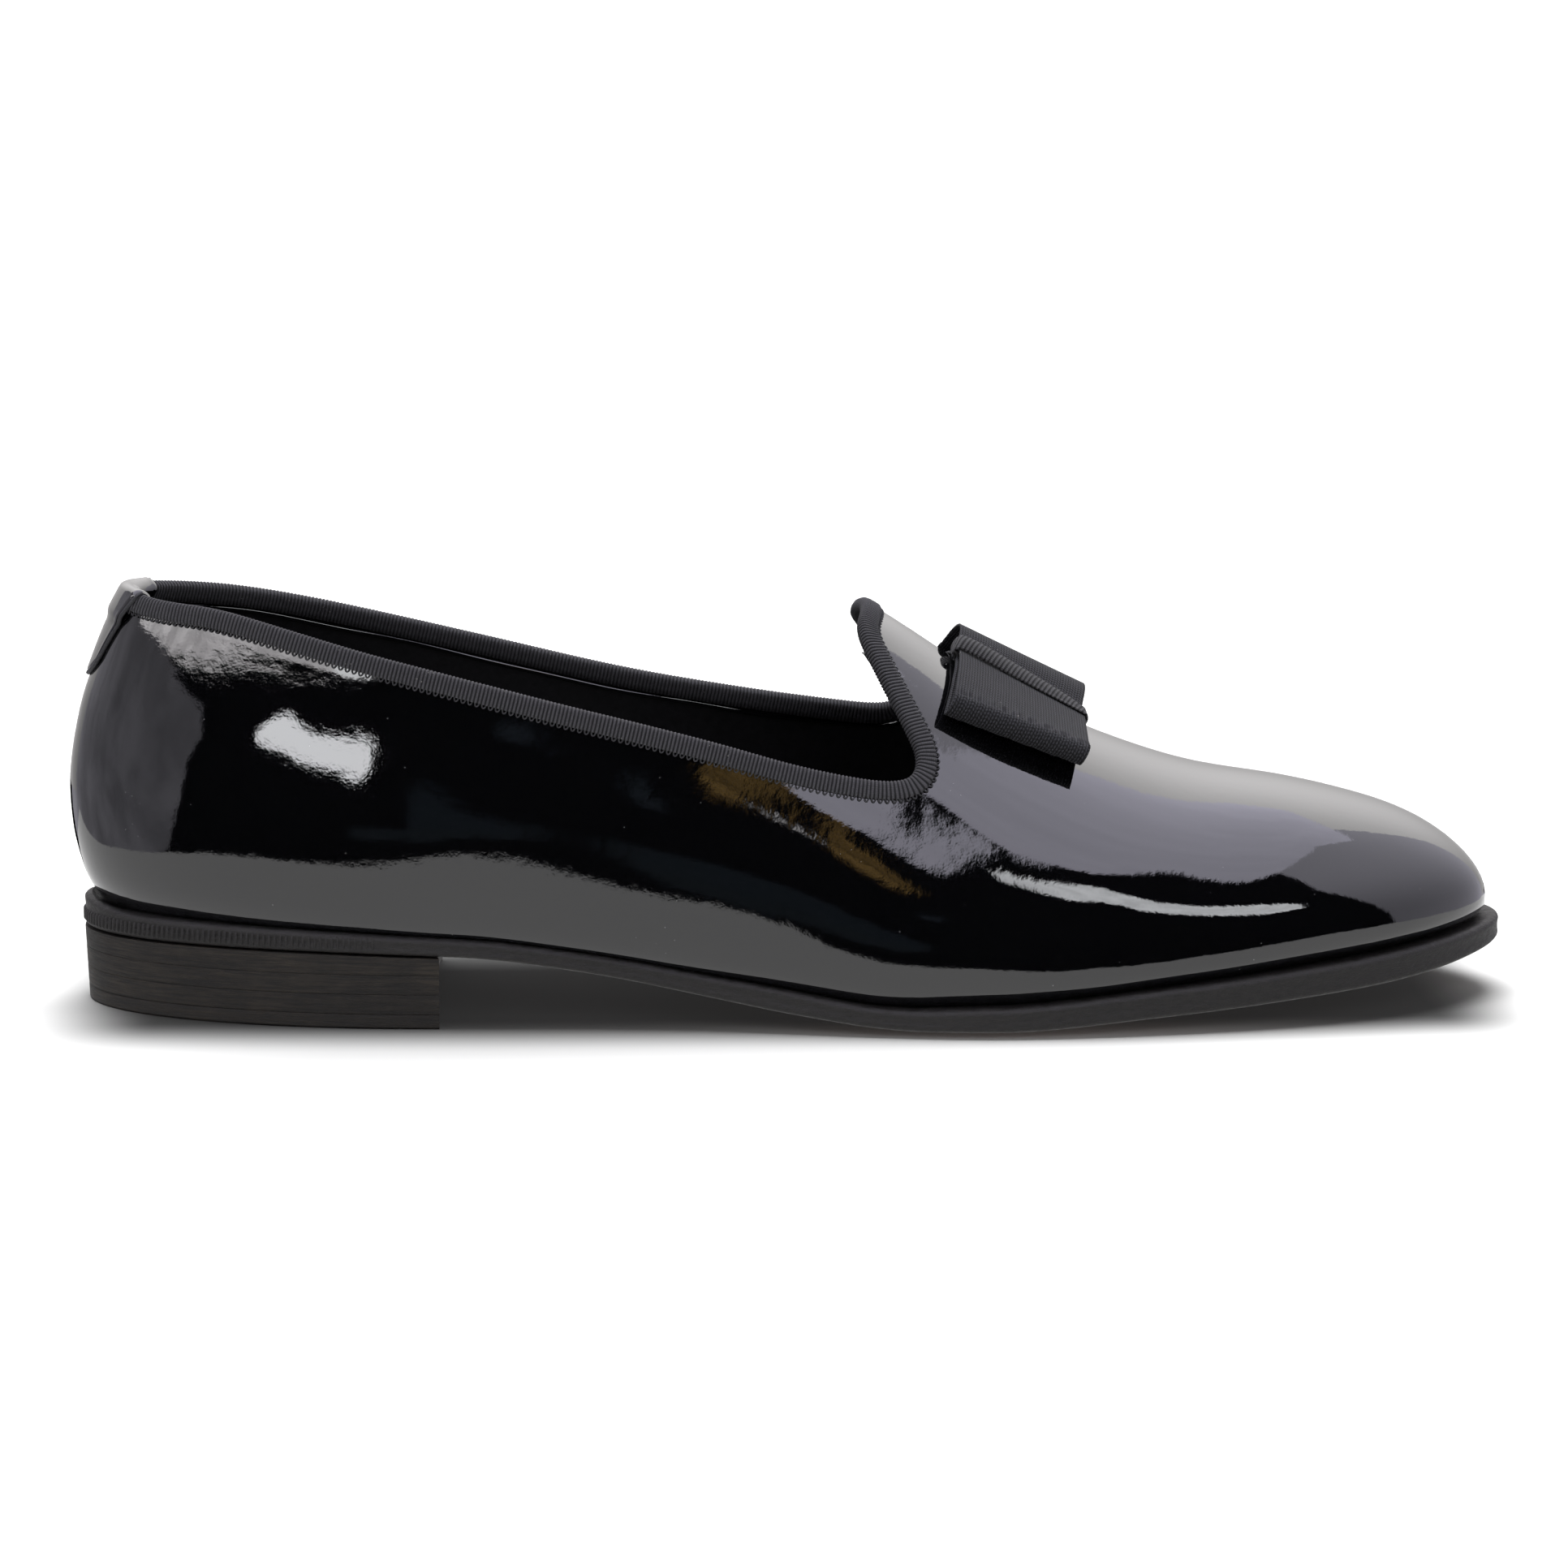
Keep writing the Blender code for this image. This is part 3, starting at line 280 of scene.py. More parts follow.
    def toe_close(self, x: Array, z: Array | None = None) -> Array:
        """How far the toe has closed in, 1 to 0.

        Args:
            x: places along the shoe.
            z: heights, where the toe's tuck counts.

        Returns:
            The shares.
        """
        tip = self.toe_tip
        if z is not None:
            tip = tip - self.toe_tuck * self.below(np.minimum(x, tip), z) ** 4
        share = np.clip((x - self.toe_start) / (tip - self.toe_start), 0, 1)
        return np.sqrt(1 - share**3)

    def back_x(self, z: Array) -> Array:
        """Where the back seam stands at a height."""
        return self.back_share((z - self.feather(0.0)) / self.back_height) * self.length

    def heel_close(self, x: Array, z: Array) -> Array:
        """How far the heel has closed in, 1 to 0.

        Args:
            x: places along the shoe.
            z: heights.

        Returns:
            The shares.
        """
        rise = np.clip((z - self.feather(0.0)) / self.back_height - 0.12, 0, 1.1)
        start = self.heel_round * (1 + 0.36 * rise**1.5)
        share = np.clip((start - x) / (start - self.back_x(z)), 0, 1)
        return np.sqrt(1 - share**self.close_power)

    def half_at(self, x: Array, z: Array) -> Array:
        """Half the upper's outside width at a place and height.

        Args:
            x: places along the shoe.
            z: heights.

        Returns:
            The half widths.
        """
        rise = np.maximum(self.ridge_rise(x) * np.maximum(self.toe_close(x), 1e-6), 1e-9)
        share = np.clip(np.abs(z - self.widest(x)) / rise, 0, 1)
        peak, left = self.ridge_peak(x), 1 - share**2
        root = np.sqrt(np.maximum((1 + peak) ** 2 - 4 * peak * left, 0))
        across = np.sqrt(2 * left / ((1 + peak) + root))
        closed = self.toe_close(x, z) * self.heel_close(x, z)
        tucked = self.tuck(x) * self.below(x, z) ** 4 * np.minimum(1, 1.5 * closed)
        return self.half_width(x) * closed * across - tucked

    def centre_at(self, x: Array, z: Array) -> Array:
        """Middle of the upper at a place and height."""
        share = np.clip((z - self.widest(x)) / self.ridge_rise(x), 0, 1)
        return self.centre_line(x) + self.ridge_shift(x) * share**2

    def ridge(self, x: Array) -> Array:
        """Height of the upper's ridge line."""
        return self.widest(x) + self.ridge_rise(x) * self.toe_close(x)

    def inside(self, points: Array) -> Array:
        """Which points lie inside the form."""
        x, y, z = points[..., 0], points[..., 1], points[..., 2]
        return np.abs(y - self.centre_at(x, z)) < self.half_at(x, z)

    def reach(self, start: Array, target: Array) -> Array:
        """The form's surface along each ray.

        Args:
            start: points inside.
            target: points that the rays go through.

        Returns:
            Where each ray leaves the form.
        """
        away = unit(target - start)
        longest = self.ray_reach * self.length
        near, far = np.zeros(away.shape[:-1]), np.full(away.shape[:-1], longest)
        steps = np.linspace(0, 1, self.march_steps + 1)[1:] * longest
        found = np.zeros(near.shape, bool)
        for step in steps:
            out = ~self.inside(start + away * step) & ~found
            far[out], near[out] = step, step - steps[0]
            found |= out
        for _ in range(self.halvings):
            middle = (near + far) / 2
            within = self.inside(start + away * middle[..., None])
            near, far = np.where(within, middle, near), np.where(within, far, middle)
        return start + away * near[..., None]

    def spine(self, x: Array) -> Array:
        """Places kept off the shoe's two ends, for what is drawn in to its middle line."""
        low, high = self.spine_span
        return np.clip(x, low * self.length, high * self.length)

    def feather_line(self, side: int) -> Array:
        """The feather from the back to the toe; side is -1 outer, 1 inner.

        Args:
            side: -1 outer, 1 inner.

        Returns:
            Its points.
        """
        back = self.back_x(self.feather(0.0))
        x = back + (self.toe_tip - self.toe_tuck - back) * eased(self.line_places)
        z = self.feather(x)
        half = self.half_at(x, z)
        half[0] = half[-1] = 0
        return np.stack([x, self.centre_at(x, z) + side * half, z], -1)

    def topline(self, side: int) -> Array:
        """The topline from the back seam to the tongue's tip.

        Args:
            side: -1 outer, 1 inner.

        Returns:
            Its points.
        """
        rows = np.array(self.TOPLINE_OUTER if side < 0 else self.TOPLINE_INNER)
        rows = np.stack([rows[:, 0] * self.length,
                         self.feather(0.0) + rows[:, 1] * self.back_height], -1)
        rows[0, 0] = self.back_x(rows[0, 1])
        rows[-1, 1] = self.ridge(rows[-1, 0])
        along = arc(rows)
        place = along[-1] * eased(self.line_places)
        x = Spline(tuple(zip(along, rows[:, 0])))(place)
        z = Spline(tuple(zip(along, rows[:, 1])))(place)
        half = self.half_at(x, np.minimum(z, self.ridge(x)))
        half[0] = half[-1] = 0
        return np.stack([x, self.centre_at(x, z) + side * half, z], -1)

    def side_ends(self, side: int, shares: Array) -> tuple[Array, Array]:
        """Feather and topline ends of the columns of one side.

        Args:
            side: -1 outer, 1 inner.
            shares: which columns, 0 at the back and 1 at the toe.

        Returns:
            The ends at the feather, then those at the topline.
        """
        low, high = self.feather_line(side), self.topline(side)
        low_arc, high_arc = arc(low), arc(high)
        corner = high_arc[np.argmax(high[:, 0])]
        rows = []
        for share, x, step in self.COLUMNS:
            place = np.interp(x * self.length, low[:, 0], low_arc) * (x > 0)
            at = low_arc[-1] if x >= 1 else place
            rise = corner * min(step, 1) + (high_arc[-1] - corner) * max(step - 1, 0)
            rows.append((share, at, rise))
        table = tuple(rows)
        ends = []
        for line, length, column in ((low, low_arc, 1), (high, high_arc, 2)):
            want = Spline(table, column)(shares)
            ends.append(np.stack([np.interp(want, length, line[:, k]) for k in range(3)], -1))
        return ends[0], ends[1]

    def grid(self, columns: int, rows: int) -> Array:
        """The upper's outside as a ring grid.

        Args:
            columns: how many from the back to the toe on one side.
            rows: how many from the feather to the topline.

        Returns:
            Points, (2 * columns, rows, 3).
        """
        shares = np.linspace(0, 1, columns + 1)
        outer_low, outer_high = self.side_ends(-1, shares)
        inner_low, inner_high = self.side_ends(1, shares)
        low = np.concatenate([outer_low, inner_low[-2:0:-1]])
        high = np.concatenate([outer_high, inner_high[-2:0:-1]])
        share = np.concatenate([shares, shares[-2:0:-1]])
        ease = np.clip((share - 0.36) / 0.64, 0, 1)
        ease = smooth(ease)
        start_low, start_high = low.copy(), high.copy()
        start_low[:, 0] = np.clip(low[:, 0], 0.17 * self.length, 0.86 * self.length)
        start_low[:, 2] = self.widest(start_low[:, 0])
        start_high[:, 0] = (np.maximum(high[:, 0], 0.25 * self.length)
                            + 0.035 * self.length * ease)
        start_high[:, 2] = high[:, 2] - self.back_height * (0.04 + 0.66 * ease)
        for start in (start_low, start_high):
            start[:, 1] = self.centre_line(start[:, 0])
        path = eased(61)[None, :, None] ** 0.8

        def mix(a: Array, b: Array, w: Array) -> Array:
            """Blend of the two ends of each column."""
            return a[:, None] * (1 - w) + b[:, None] * w

        trial = self.reach(mix(start_low, start_high, path), mix(low, high, path))
        steps = np.linalg.norm(np.diff(trial, axis=1), axis=-1)
        length = np.concatenate([np.zeros((len(low), 1)), np.cumsum(steps, axis=1)], axis=1)
        level = np.linspace(0, 1, rows)
        wanted = np.stack([np.interp(level * row[-1], row, path[0, :, 0]) for row in length])
        wanted = wanted[..., None]
        grid = self.reach(mix(start_low, start_high, wanted), mix(low, high, wanted))
        grid[:, 0], grid[:, -1] = low, high
        return grid

    def place(self, points: Array) -> Array:
        """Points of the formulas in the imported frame.

        Args:
            points: in the formulas' coordinates.

        Returns:
            The moved points.
        """
        low, high = (np.array(corner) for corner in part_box("outsole"))
        plan = self.outline_ring(300)
        middle = (plan.max(axis=0) + plan.min(axis=0)) / 2
        shift = ((low + high) / 2)[:2] - middle
        return points + np.array([shift[0], shift[1], 0.0])

    def outline_ring(self, columns: int, inset: float = 0.0) -> Array:
        """Plan of the outsole.

        Args:
            columns: how many from the back to the toe on one side.
            inset: how far it is drawn in.

        Returns:
            Points, (2 * columns, 2).
        """
        x0, x1 = inset, self.length - inset
        x = x0 + (x1 - x0) * eased(1441)
        start = self.sole_heel_round
        heel = np.sqrt(1 - np.clip((start - x) / (start - x0), 0, 1) ** self.close_power)
        toe = np.sqrt(1 - np.clip((x - self.toe_start) / (x1 - self.toe_start), 0, 1) ** 3)
        half = (self.sole_half(x) - inset) * heel * toe
        half[0] = half[-1] = 0
        sides = []
        for side in (-1, 1):
            line = np.stack([x, self.sole_centre(x) + side * half], -1)
            sides.append(resampled(line, np.linspace(0, 1, columns + 1))[0])
        return np.concatenate([sides[0], sides[1][-2:0:-1]])

    def back_wall(self, y: Array, z: Array) -> Array:
        """Outside of the heel's back at an offset from the seam and a height.

        Args:
            y: offsets from the seam.
            z: heights.

        Returns:
            The points.
        """
        low = self.back_x(z)
        high = np.full_like(low, 0.2 * self.length)
        for _ in range(self.wall_halvings):
            middle = (low + high) / 2
            within = self.half_at(middle, z) >= np.abs(y)
            high, low = np.where(within, middle, high), np.where(within, low, middle)
        return np.stack([high, y, z], -1)


LAST = Last()


def ring_normals(grid: Array) -> Array:
    """Outward normals of a ring grid."""
    along = np.roll(grid, -1, 0) - np.roll(grid, 1, 0)
    return unit(np.cross(along, np.gradient(grid, axis=1)))


class Wrap(Enum):
    """How a grid of points closes on itself."""

    OPEN = "open"
    ROUND = "round"
    TORUS = "torus"


class MeshShop:
    """Makes Blender objects from grids of points and hands them to the frame."""

    @staticmethod
    def quads(rows: int, columns: int, wrap: Wrap, start: int = 0) -> list[tuple[int, ...]]:
        """Faces between rows of points.

        Args:
            rows: how many rows.
            columns: how many points in a row.
            wrap: whether the rows, or the rows and the columns, close.
            start: index of the first point.

        Returns:
            Four indices a face.
        """
        last_row = rows if wrap is Wrap.TORUS else rows - 1
        last_column = columns - 1 if wrap is Wrap.OPEN else columns
        faces = []
        for i in range(last_row):
            here, there = start + i * columns, start + (i + 1) % rows * columns
            for j in range(last_column):
                k = (j + 1) % columns
                faces.append((here + j, here + k, there + k, there + j))
        return faces

    @staticmethod
    def grid(name: str, points: Array, wrap: Wrap, uv: Array | None = None,
             flip: bool = False) -> bpy.types.Object:
        """A quad surface through a grid of points.

        Args:
            name: the piece's name.
            points: (rows, columns, 3) in the formulas' coordinates.
            wrap: whether the rows, or the rows and the columns, close.
            uv: (rows, columns, 2) lengths in metres for the finishes.
            flip: turns the faces round.

        Returns:
            The new object, shaded smooth.
        """
        faces = MeshShop.quads(*points.shape[:2], wrap)
        faces = [face[::-1] for face in faces] if flip else faces
        made = MeshShop.raw(name, points.reshape(-1, 3), faces)
        if uv is not None:
            layer = made.data.uv_layers.new(name="UVMap")
            order = np.empty(len(made.data.loops), np.int32)
            made.data.loops.foreach_get("vertex_index", order)
            flat = uv.reshape(-1, 2)[order]
            layer.data.foreach_set("uv", flat.astype(np.float32).ravel())
        return made

    @staticmethod
    def raw(name: str, points: Array, faces: list[tuple[int, ...]]) -> bpy.types.Object:
        """A smooth object from points in the formulas' coordinates and faces.

        Args:
            name: the piece's name.
            points: (count, 3).
            faces: indices of each face's points.

        Returns:
            The new object.
        """
        mesh = bpy.data.meshes.new(name)
        mesh.from_pydata([tuple(p) for p in LAST.place(points)], [], faces)
        mesh.update()
        mesh.shade_smooth()
        made = bpy.data.objects.new(name, mesh)
        bpy.context.scene.collection.objects.link(made)
        return made

    @staticmethod
    def dressed(made: bpy.types.Object, finish: Material, slot: str,
                replaces: tuple[str, ...] = ()) -> None:
        """Gives a piece its material and its place in the frame.

        Args:
            made: the piece.
            finish: its material.
            slot: the record's material slot; not used.
            replaces: the solids that it stands for.
        """
        made.data.materials.clear()
        made.data.materials.append(finish)
        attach(made, "root")
        for node in replaces:
            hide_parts(node)
        LOG.info("%s: %d faces", made.name, len(made.data.polygons))

    @staticmethod
    def tube(path: Array, radius: float, sides: int) -> Array:
        """Points of a tube along an open path.

        Args:
            path: the path's points.
            radius: the tube's radius.
            sides: points round it.

        Returns:
            Points, (path points, sides, 3).
        """
        tangent = unit(np.gradient(path, axis=0))
        guide = np.array([0.0, 0.0, 1.0])
        across = unit(np.cross(tangent, guide))
        up = np.cross(across, tangent)
        turn = np.linspace(0, 2 * math.pi, sides, endpoint=False)[None, :, None]
        ring = np.cos(turn) * across[:, None] + np.sin(turn) * up[:, None]
        return path[:, None] + radius * ring


class Nodes:
    """Short ways to wire a node tree."""

    def __init__(self, tree: bpy.types.NodeTree) -> None:
        """Holds the tree that the methods add to."""
        self.tree = tree

    def feed(self, node: bpy.types.Node, inputs: dict[str | int, Feed]) -> None:
        """Sets or links a node's inputs.

        Args:
            node: the node.
            inputs: socket name or index to a value or an output socket.
        """
        for key, value in inputs.items():
            if isinstance(value, Socket):
                self.tree.links.new(value, node.inputs[key])
            else:
                node.inputs[key].default_value = value

    def add(self, kind: str, inputs: dict[str | int, Feed] | None = None,
            **settings: object) -> bpy.types.Node:
        """Adds a node.

        Args:
            kind: Blender's node type.
            inputs: socket name or index to a value or an output socket.
            settings: node properties.

        Returns:
            The node.
        """
        node = self.tree.nodes.new(kind)
        for key, value in settings.items():
            setattr(node, key, value)
        self.feed(node, inputs or {})
        return node

    def where(self, kind: str = "Object") -> Socket:
        """The piece's own coordinates, or its UV map."""
        return self.add("ShaderNodeTexCoord").outputs[kind]

    def parts(self, vector: Socket) -> bpy.types.NodeOutputs:
        """The x, y and z of a vector."""
        return self.add("ShaderNodeSeparateXYZ", {0: vector}).outputs

    def math(self, operation: str, a: Feed, b: Feed = 0.0) -> Socket:
        """One math node's result."""
        return self.add("ShaderNodeMath", {0: a, 1: b}, operation=operation).outputs[0]

    def plus(self, a: Feed, b: Feed) -> Socket:
        """The sum of two values."""
        return self.math("ADD", a, b)

    def times(self, a: Feed, b: Feed) -> Socket:
        """The product of two values."""
        return self.math("MULTIPLY", a, b)

    def spread(self, value: Feed, low: float, high: float, to_low: float = 0.0,
               to_high: float = 1.0) -> Socket:
        """A value taken from one range to another, kept inside it.

        Args:
            value: the value.
            low: start of its range.
            high: end of its range.
            to_low: what the start becomes.
            to_high: what the end becomes.

        Returns:
            The new value.
        """
        ends = {0: value, 1: low, 2: high, 3: to_low, 4: to_high}
        return self.add("ShaderNodeMapRange", ends, interpolation_type="SMOOTHSTEP").outputs[0]

    def mix(self, factor: Feed, a: Feed, b: Feed) -> Socket:
        """Colour between two colours."""
        return self.add("ShaderNodeMix", {0: factor, 6: a, 7: b}, data_type="RGBA").outputs[2]

    def noise(self, where: Socket, scale: Feed, detail: float = 2.0, rough: float = 0.5) -> Socket:
        """Value of a noise texture."""
        return self.add("ShaderNodeTexNoise", {"Vector": where, "Scale": scale, "Detail": detail,
                                               "Roughness": rough}).outputs[0]

    def effect(self, group: bpy.types.NodeTree, where: Socket, **values: float) -> Socket:
        """Result of a shared effect at the values given."""
        return self.add("ShaderNodeGroup", {"Place": where, **values}, node_tree=group).outputs[0]

    def bump(self, height: Socket, distance: float) -> Socket:
        """A normal from a height."""
        return self.add("ShaderNodeBump", {"Height": height, "Distance": distance,
                                           "Strength": 1.0}).outputs[0]


class Effects:
    """Shader node groups that several finishes share."""

    @staticmethod
    def start(name: str, floats: dict[str, float]) -> tuple[Nodes, bpy.types.NodeOutputs]:
        """A new group with a vector input, float inputs and one float output.

        Args:
            name: the group's name.
            floats: input names and their first values.

        Returns:
            The group's wiring kit, then its inputs as sockets to link from.
        """
        group = bpy.data.node_groups.new(name, "ShaderNodeTree")
        group.interface.new_socket("Place", in_out="INPUT", socket_type="NodeSocketVector")
        for key, value in floats.items():
            socket = group.interface.new_socket(key, in_out="INPUT", socket_type="NodeSocketFloat")
            socket.default_value = value
        group.interface.new_socket("Value", in_out="OUTPUT", socket_type="NodeSocketFloat")
        return Nodes(group), group.nodes.new("NodeGroupInput").outputs

    @staticmethod
    def finish(kit: Nodes, value: Socket) -> bpy.types.NodeTree:
        """Links a group's result to its output and hands the group back."""
        kit.add("NodeGroupOutput", {0: value})
        return kit.tree

    @staticmethod
    @cache
    def grain() -> bpy.types.NodeTree:
        """Pores and wrinkles at two sizes, as one height.

        Returns:
            The group.
        """
        kit, given = Effects.start("grain", {"Coarse": 300.0, "Fine": 1500.0, "Share": 0.5})
        coarse = kit.noise(given["Place"], given["Coarse"], 2.0, 0.5)
        fine = kit.noise(given["Place"], given["Fine"], 3.0, 0.6)
        return Effects.finish(kit, kit.plus(coarse, kit.times(fine, given["Share"])))

    @staticmethod
    @cache
    def dust() -> bpy.types.NodeTree:
        """Sparse pale specks, as a mask.

        Returns:
            The group.
        """
        kit, given = Effects.start("dust", {"Density": 700.0, "Size": 0.09})
        cells = kit.add("ShaderNodeTexVoronoi", {"Vector": given["Place"],
                                                 "Scale": given["Density"]})
        near = kit.math("LESS_THAN", cells.outputs["Distance"], given["Size"])
        rare = kit.math("GREATER_THAN", kit.noise(given["Place"], 90.0, 1.0), 0.62)
        return Effects.finish(kit, kit.times(near, rare))

    @staticmethod
    @cache
    def ribs() -> bpy.types.NodeTree:
        """Rounded ribs across a ribbon, uneven as woven ones are.

        Returns:
            The group.
        """
        kit, given = Effects.start("ribs", {"Pitch": 0.001, "Slant": 0.0, "Uneven": 0.3})
        u, v = (kit.parts(given["Place"])[axis] for axis in "XY")
        wander = kit.times(kit.noise(given["Place"], 260.0, 2.0), given["Uneven"])
        along = kit.plus(kit.plus(u, kit.times(v, given["Slant"])),
                         kit.times(wander, given["Pitch"]))
        turn = kit.times(kit.math("DIVIDE", along, given["Pitch"]), 2 * math.pi)
        return Effects.finish(kit, kit.spread(kit.math("SINE", turn), -1.0, 0.65))


def tinted(colour: Colour, factor: float = 1.0) -> tuple[float, ...]:
    """A colour made darker or paler, with its alpha."""
    return tuple(factor * channel for channel in colour) + (1,)


class Finish:
    """Base of every finish: a material with a principled shader."""

    def material(self, name: str) -> Material:
        """A new material of this finish.

        Args:
            name: the material's name.

        Returns:
            The material.
        """
        made = bpy.data.materials.new(name)
        made.use_nodes = True
        self.wire(Nodes(made.node_tree), made.node_tree.nodes["Principled BSDF"])
        return made

    def wire(self, kit: Nodes, shader: bpy.types.Node) -> None:
        """Wires the shader; every finish has its own way."""
        raise NotImplementedError


@dataclass(frozen=True)
class PatentLeather(Finish):
    """Black patent: a clear mirror coat over black leather, with a faint orange peel."""

    colour: Colour = (0.0022, 0.0022, 0.0028)
    dust_colour: Colour = (0.5, 0.5, 0.52)
    dust_density: float = 620.0
    dust_size: float = 0.055
    dust_share: float = 0.5
    roughness: float = 0.022
    hazy: float = 1.9
    haze_scale: float = 55.0
    leather_ior: float = 1.5
    coat_ior: float = 1.52
    coat_roughness: float = 0.006
    peel_coarse: float = 560.0
    peel_fine: float = 2100.0
    peel_share: float = 0.38
    wave_scale: float = 120.0
    wave_share: float = 3.2
    wrinkle: float = 1.05e-5

    def wire(self, kit: Nodes, shader: bpy.types.Node) -> None:
        """Wires the leather, its dust, its haze and its peel.

        Args:
            kit: wires the material's tree.
            shader: its principled shader.
        """
        place = kit.where()
        specks = kit.times(kit.effect(Effects.dust(), place, Density=self.dust_density,
                                      Size=self.dust_size), self.dust_share)
        haze = kit.spread(kit.noise(place, self.haze_scale, 3.0), 0.35, 0.75, self.roughness,
                          self.roughness * self.hazy)
        peel = kit.effect(Effects.grain(), place, Coarse=self.peel_coarse, Fine=self.peel_fine,
                          Share=self.peel_share)
        wide = kit.times(kit.noise(place, self.wave_scale, 2.0), self.wave_share)
        normal = kit.bump(kit.plus(peel, wide), self.wrinkle)
        kit.feed(shader, {
            "Base Color": kit.mix(specks, tinted(self.colour), tinted(self.dust_colour)),
            "Roughness": kit.plus(haze, specks), "IOR": self.leather_ior, "Normal": normal,
            "Coat Weight": 1.0, "Coat Roughness": self.coat_roughness,
            "Coat IOR": self.coat_ior, "Coat Normal": normal})


@dataclass(frozen=True)
class Grosgrain(Finish):
    """Ribbed black ribbon: ribs across it, fine weave in between, with painted shade in the grooves
    and painted highlight on the rib crowns.
    """

    colour: Colour = (0.040, 0.039, 0.044)
    dust_colour: Colour = (0.42, 0.40, 0.38)
    dust_density: float = 900.0
    dust_size: float = 0.10
    dust_share: float = 0.55
    pitch: float = 0.00085
    slant: float = 0.0
    uneven: float = 0.0
    weave: float = 0.00034
    thread: float = 0.22
    depth: float = 0.00011
    zigzag: float = 0.0
    zigzag_rate: float = 0.42
    fuzz_scale: float = 5200.0
    fuzz_height: float = 0.40
    # painted shade in the grooves and painted highlight on the rib crowns, as shares of the colour
    groove_painted_shade: float = 0.10
    crown_painted_highlight: float = 1.9

    def wire(self, kit: Nodes, shader: bpy.types.Node) -> None:
        """Wires the ribbon; u runs along the ribs' repeat, v across.

        Args:
            kit: wires the material's tree.
            shader: its principled shader.
        """
        place = kit.where("UV")
        ribs = kit.effect(Effects.ribs(), place, Pitch=self.pitch, Slant=self.slant,
                          Uneven=self.uneven)
        u, v = (kit.parts(place)[axis] for axis in "XY")
        turn = 2 * math.pi / self.weave
        sway = kit.times(kit.math("SINE", kit.times(u, turn * self.zigzag_rate)), self.zigzag)
        thread = kit.math("SINE", kit.plus(kit.times(v, turn), sway))
        fuzz = kit.noise(place, self.fuzz_scale, 3.0, 0.7)
        height = kit.plus(kit.plus(ribs, kit.times(thread, self.thread)),
                          kit.times(fuzz, self.fuzz_height))
        # painted shade and highlight: the colour is darkest in the grooves between ribs and between
        # threads, and palest on the rib crowns
        painted_light = kit.times(ribs, kit.spread(thread, -1.0, 0.6, 1.0 - self.thread * 2.2, 1.0))
        tone = kit.times(painted_light, kit.spread(fuzz, 0.30, 0.66, 0.35, 1.0))
        cloth_with_painted_light = kit.mix(tone, tinted(self.colour, self.groove_painted_shade), tinted(self.colour, self.crown_painted_highlight))
        specks = kit.times(kit.effect(Effects.dust(), place, Density=self.dust_density,
                                      Size=self.dust_size), self.dust_share)
        kit.feed(shader, {
            "Base Color": kit.mix(specks, cloth_with_painted_light, tinted(self.dust_colour)),
            "Roughness": kit.spread(fuzz, 0.2, 0.8, 0.60, 0.86), "Sheen Weight": 0.04,
            "Sheen Roughness": 0.45, "Specular IOR Level": 0.25,
            "Normal": kit.bump(height, self.depth)})


@dataclass(frozen=True)
class StackedLeather(Finish):
    """Black-stained heel: fibres along each layer, brown where the stain is thin."""

    colour: Colour = (0.0105, 0.0095, 0.0085)
    thin: Colour = (0.044, 0.036, 0.028)
    roughness: float = 0.52
    layered: float = 20.0
    fibre_scale: float = 95.0
    fine_scale: float = 420.0
    worn_scale: float = 60.0
    relief: float = 0.00030

    def wire(self, kit: Nodes, shader: bpy.types.Node) -> None:
        """Wires the fibres and the worn stain.

        Args:
            kit: wires the material's tree.
            shader: its principled shader.
        """
        place = kit.where()
        flat = kit.add("ShaderNodeMapping", {0: place, "Scale": (1.0, 1.0, self.layered)})
        fibre = kit.noise(flat.outputs[0], self.fibre_scale, 5.0, 0.62)
        fine = kit.noise(flat.outputs[0], self.fine_scale, 3.0, 0.6)
        tone = kit.spread(kit.plus(fibre, kit.times(fine, 0.5)), 0.60, 0.92)
        worn = kit.spread(kit.noise(place, self.worn_scale, 3.0), 0.36, 0.66, 0.25, 1.0)
        kit.feed(shader, {
            "Base Color": kit.mix(kit.times(tone, worn), tinted(self.colour), tinted(self.thin)),
            "Roughness": kit.spread(fine, 0.3, 0.7, self.roughness, self.roughness + 0.16),
            "Specular IOR Level": 0.25,
            "Normal": kit.bump(kit.plus(fibre, kit.times(fine, 0.6)), self.relief)})


@dataclass(frozen=True)
class Leather(Finish):
    """Plain leather: pores at two sizes that also vary its tone and its shine.

    The values given here are those of matt black lining and sock leather.
    """

    colour: Colour = (0.0016, 0.0016, 0.0018)
    roughness: float = 0.55
    coarse: float = 520.0
    fine: float = 1900.0
    relief: float = 0.00012
    pale: float = 1.8
    tone_range: tuple[float, float] = (0.5, 1.3)
    specular: float = 0.15
    duller: float = 0.2
    share: float = 0.8
    stretch: tuple[float, float, float] = (1.0, 1.0, 1.0)

    def wire(self, kit: Nodes, shader: bpy.types.Node) -> None:
        """Wires the pores.

        Args:
            kit: wires the material's tree.
            shader: its principled shader.
        """
        place = kit.add("ShaderNodeMapping", {0: kit.where(), "Scale": self.stretch}).outputs[0]
        grain = kit.effect(Effects.grain(), place, Coarse=self.coarse, Fine=self.fine,
                           Share=self.share)
        kit.feed(shader, {
            "Base Color": kit.mix(kit.spread(grain, *self.tone_range), tinted(self.colour),
                                  tinted(self.colour, self.pale)),
            "Roughness": kit.spread(grain, 0.5, 1.2, self.roughness,
                                    self.roughness + self.duller),
            "Specular IOR Level": self.specular, "Normal": kit.bump(grain, self.relief)})


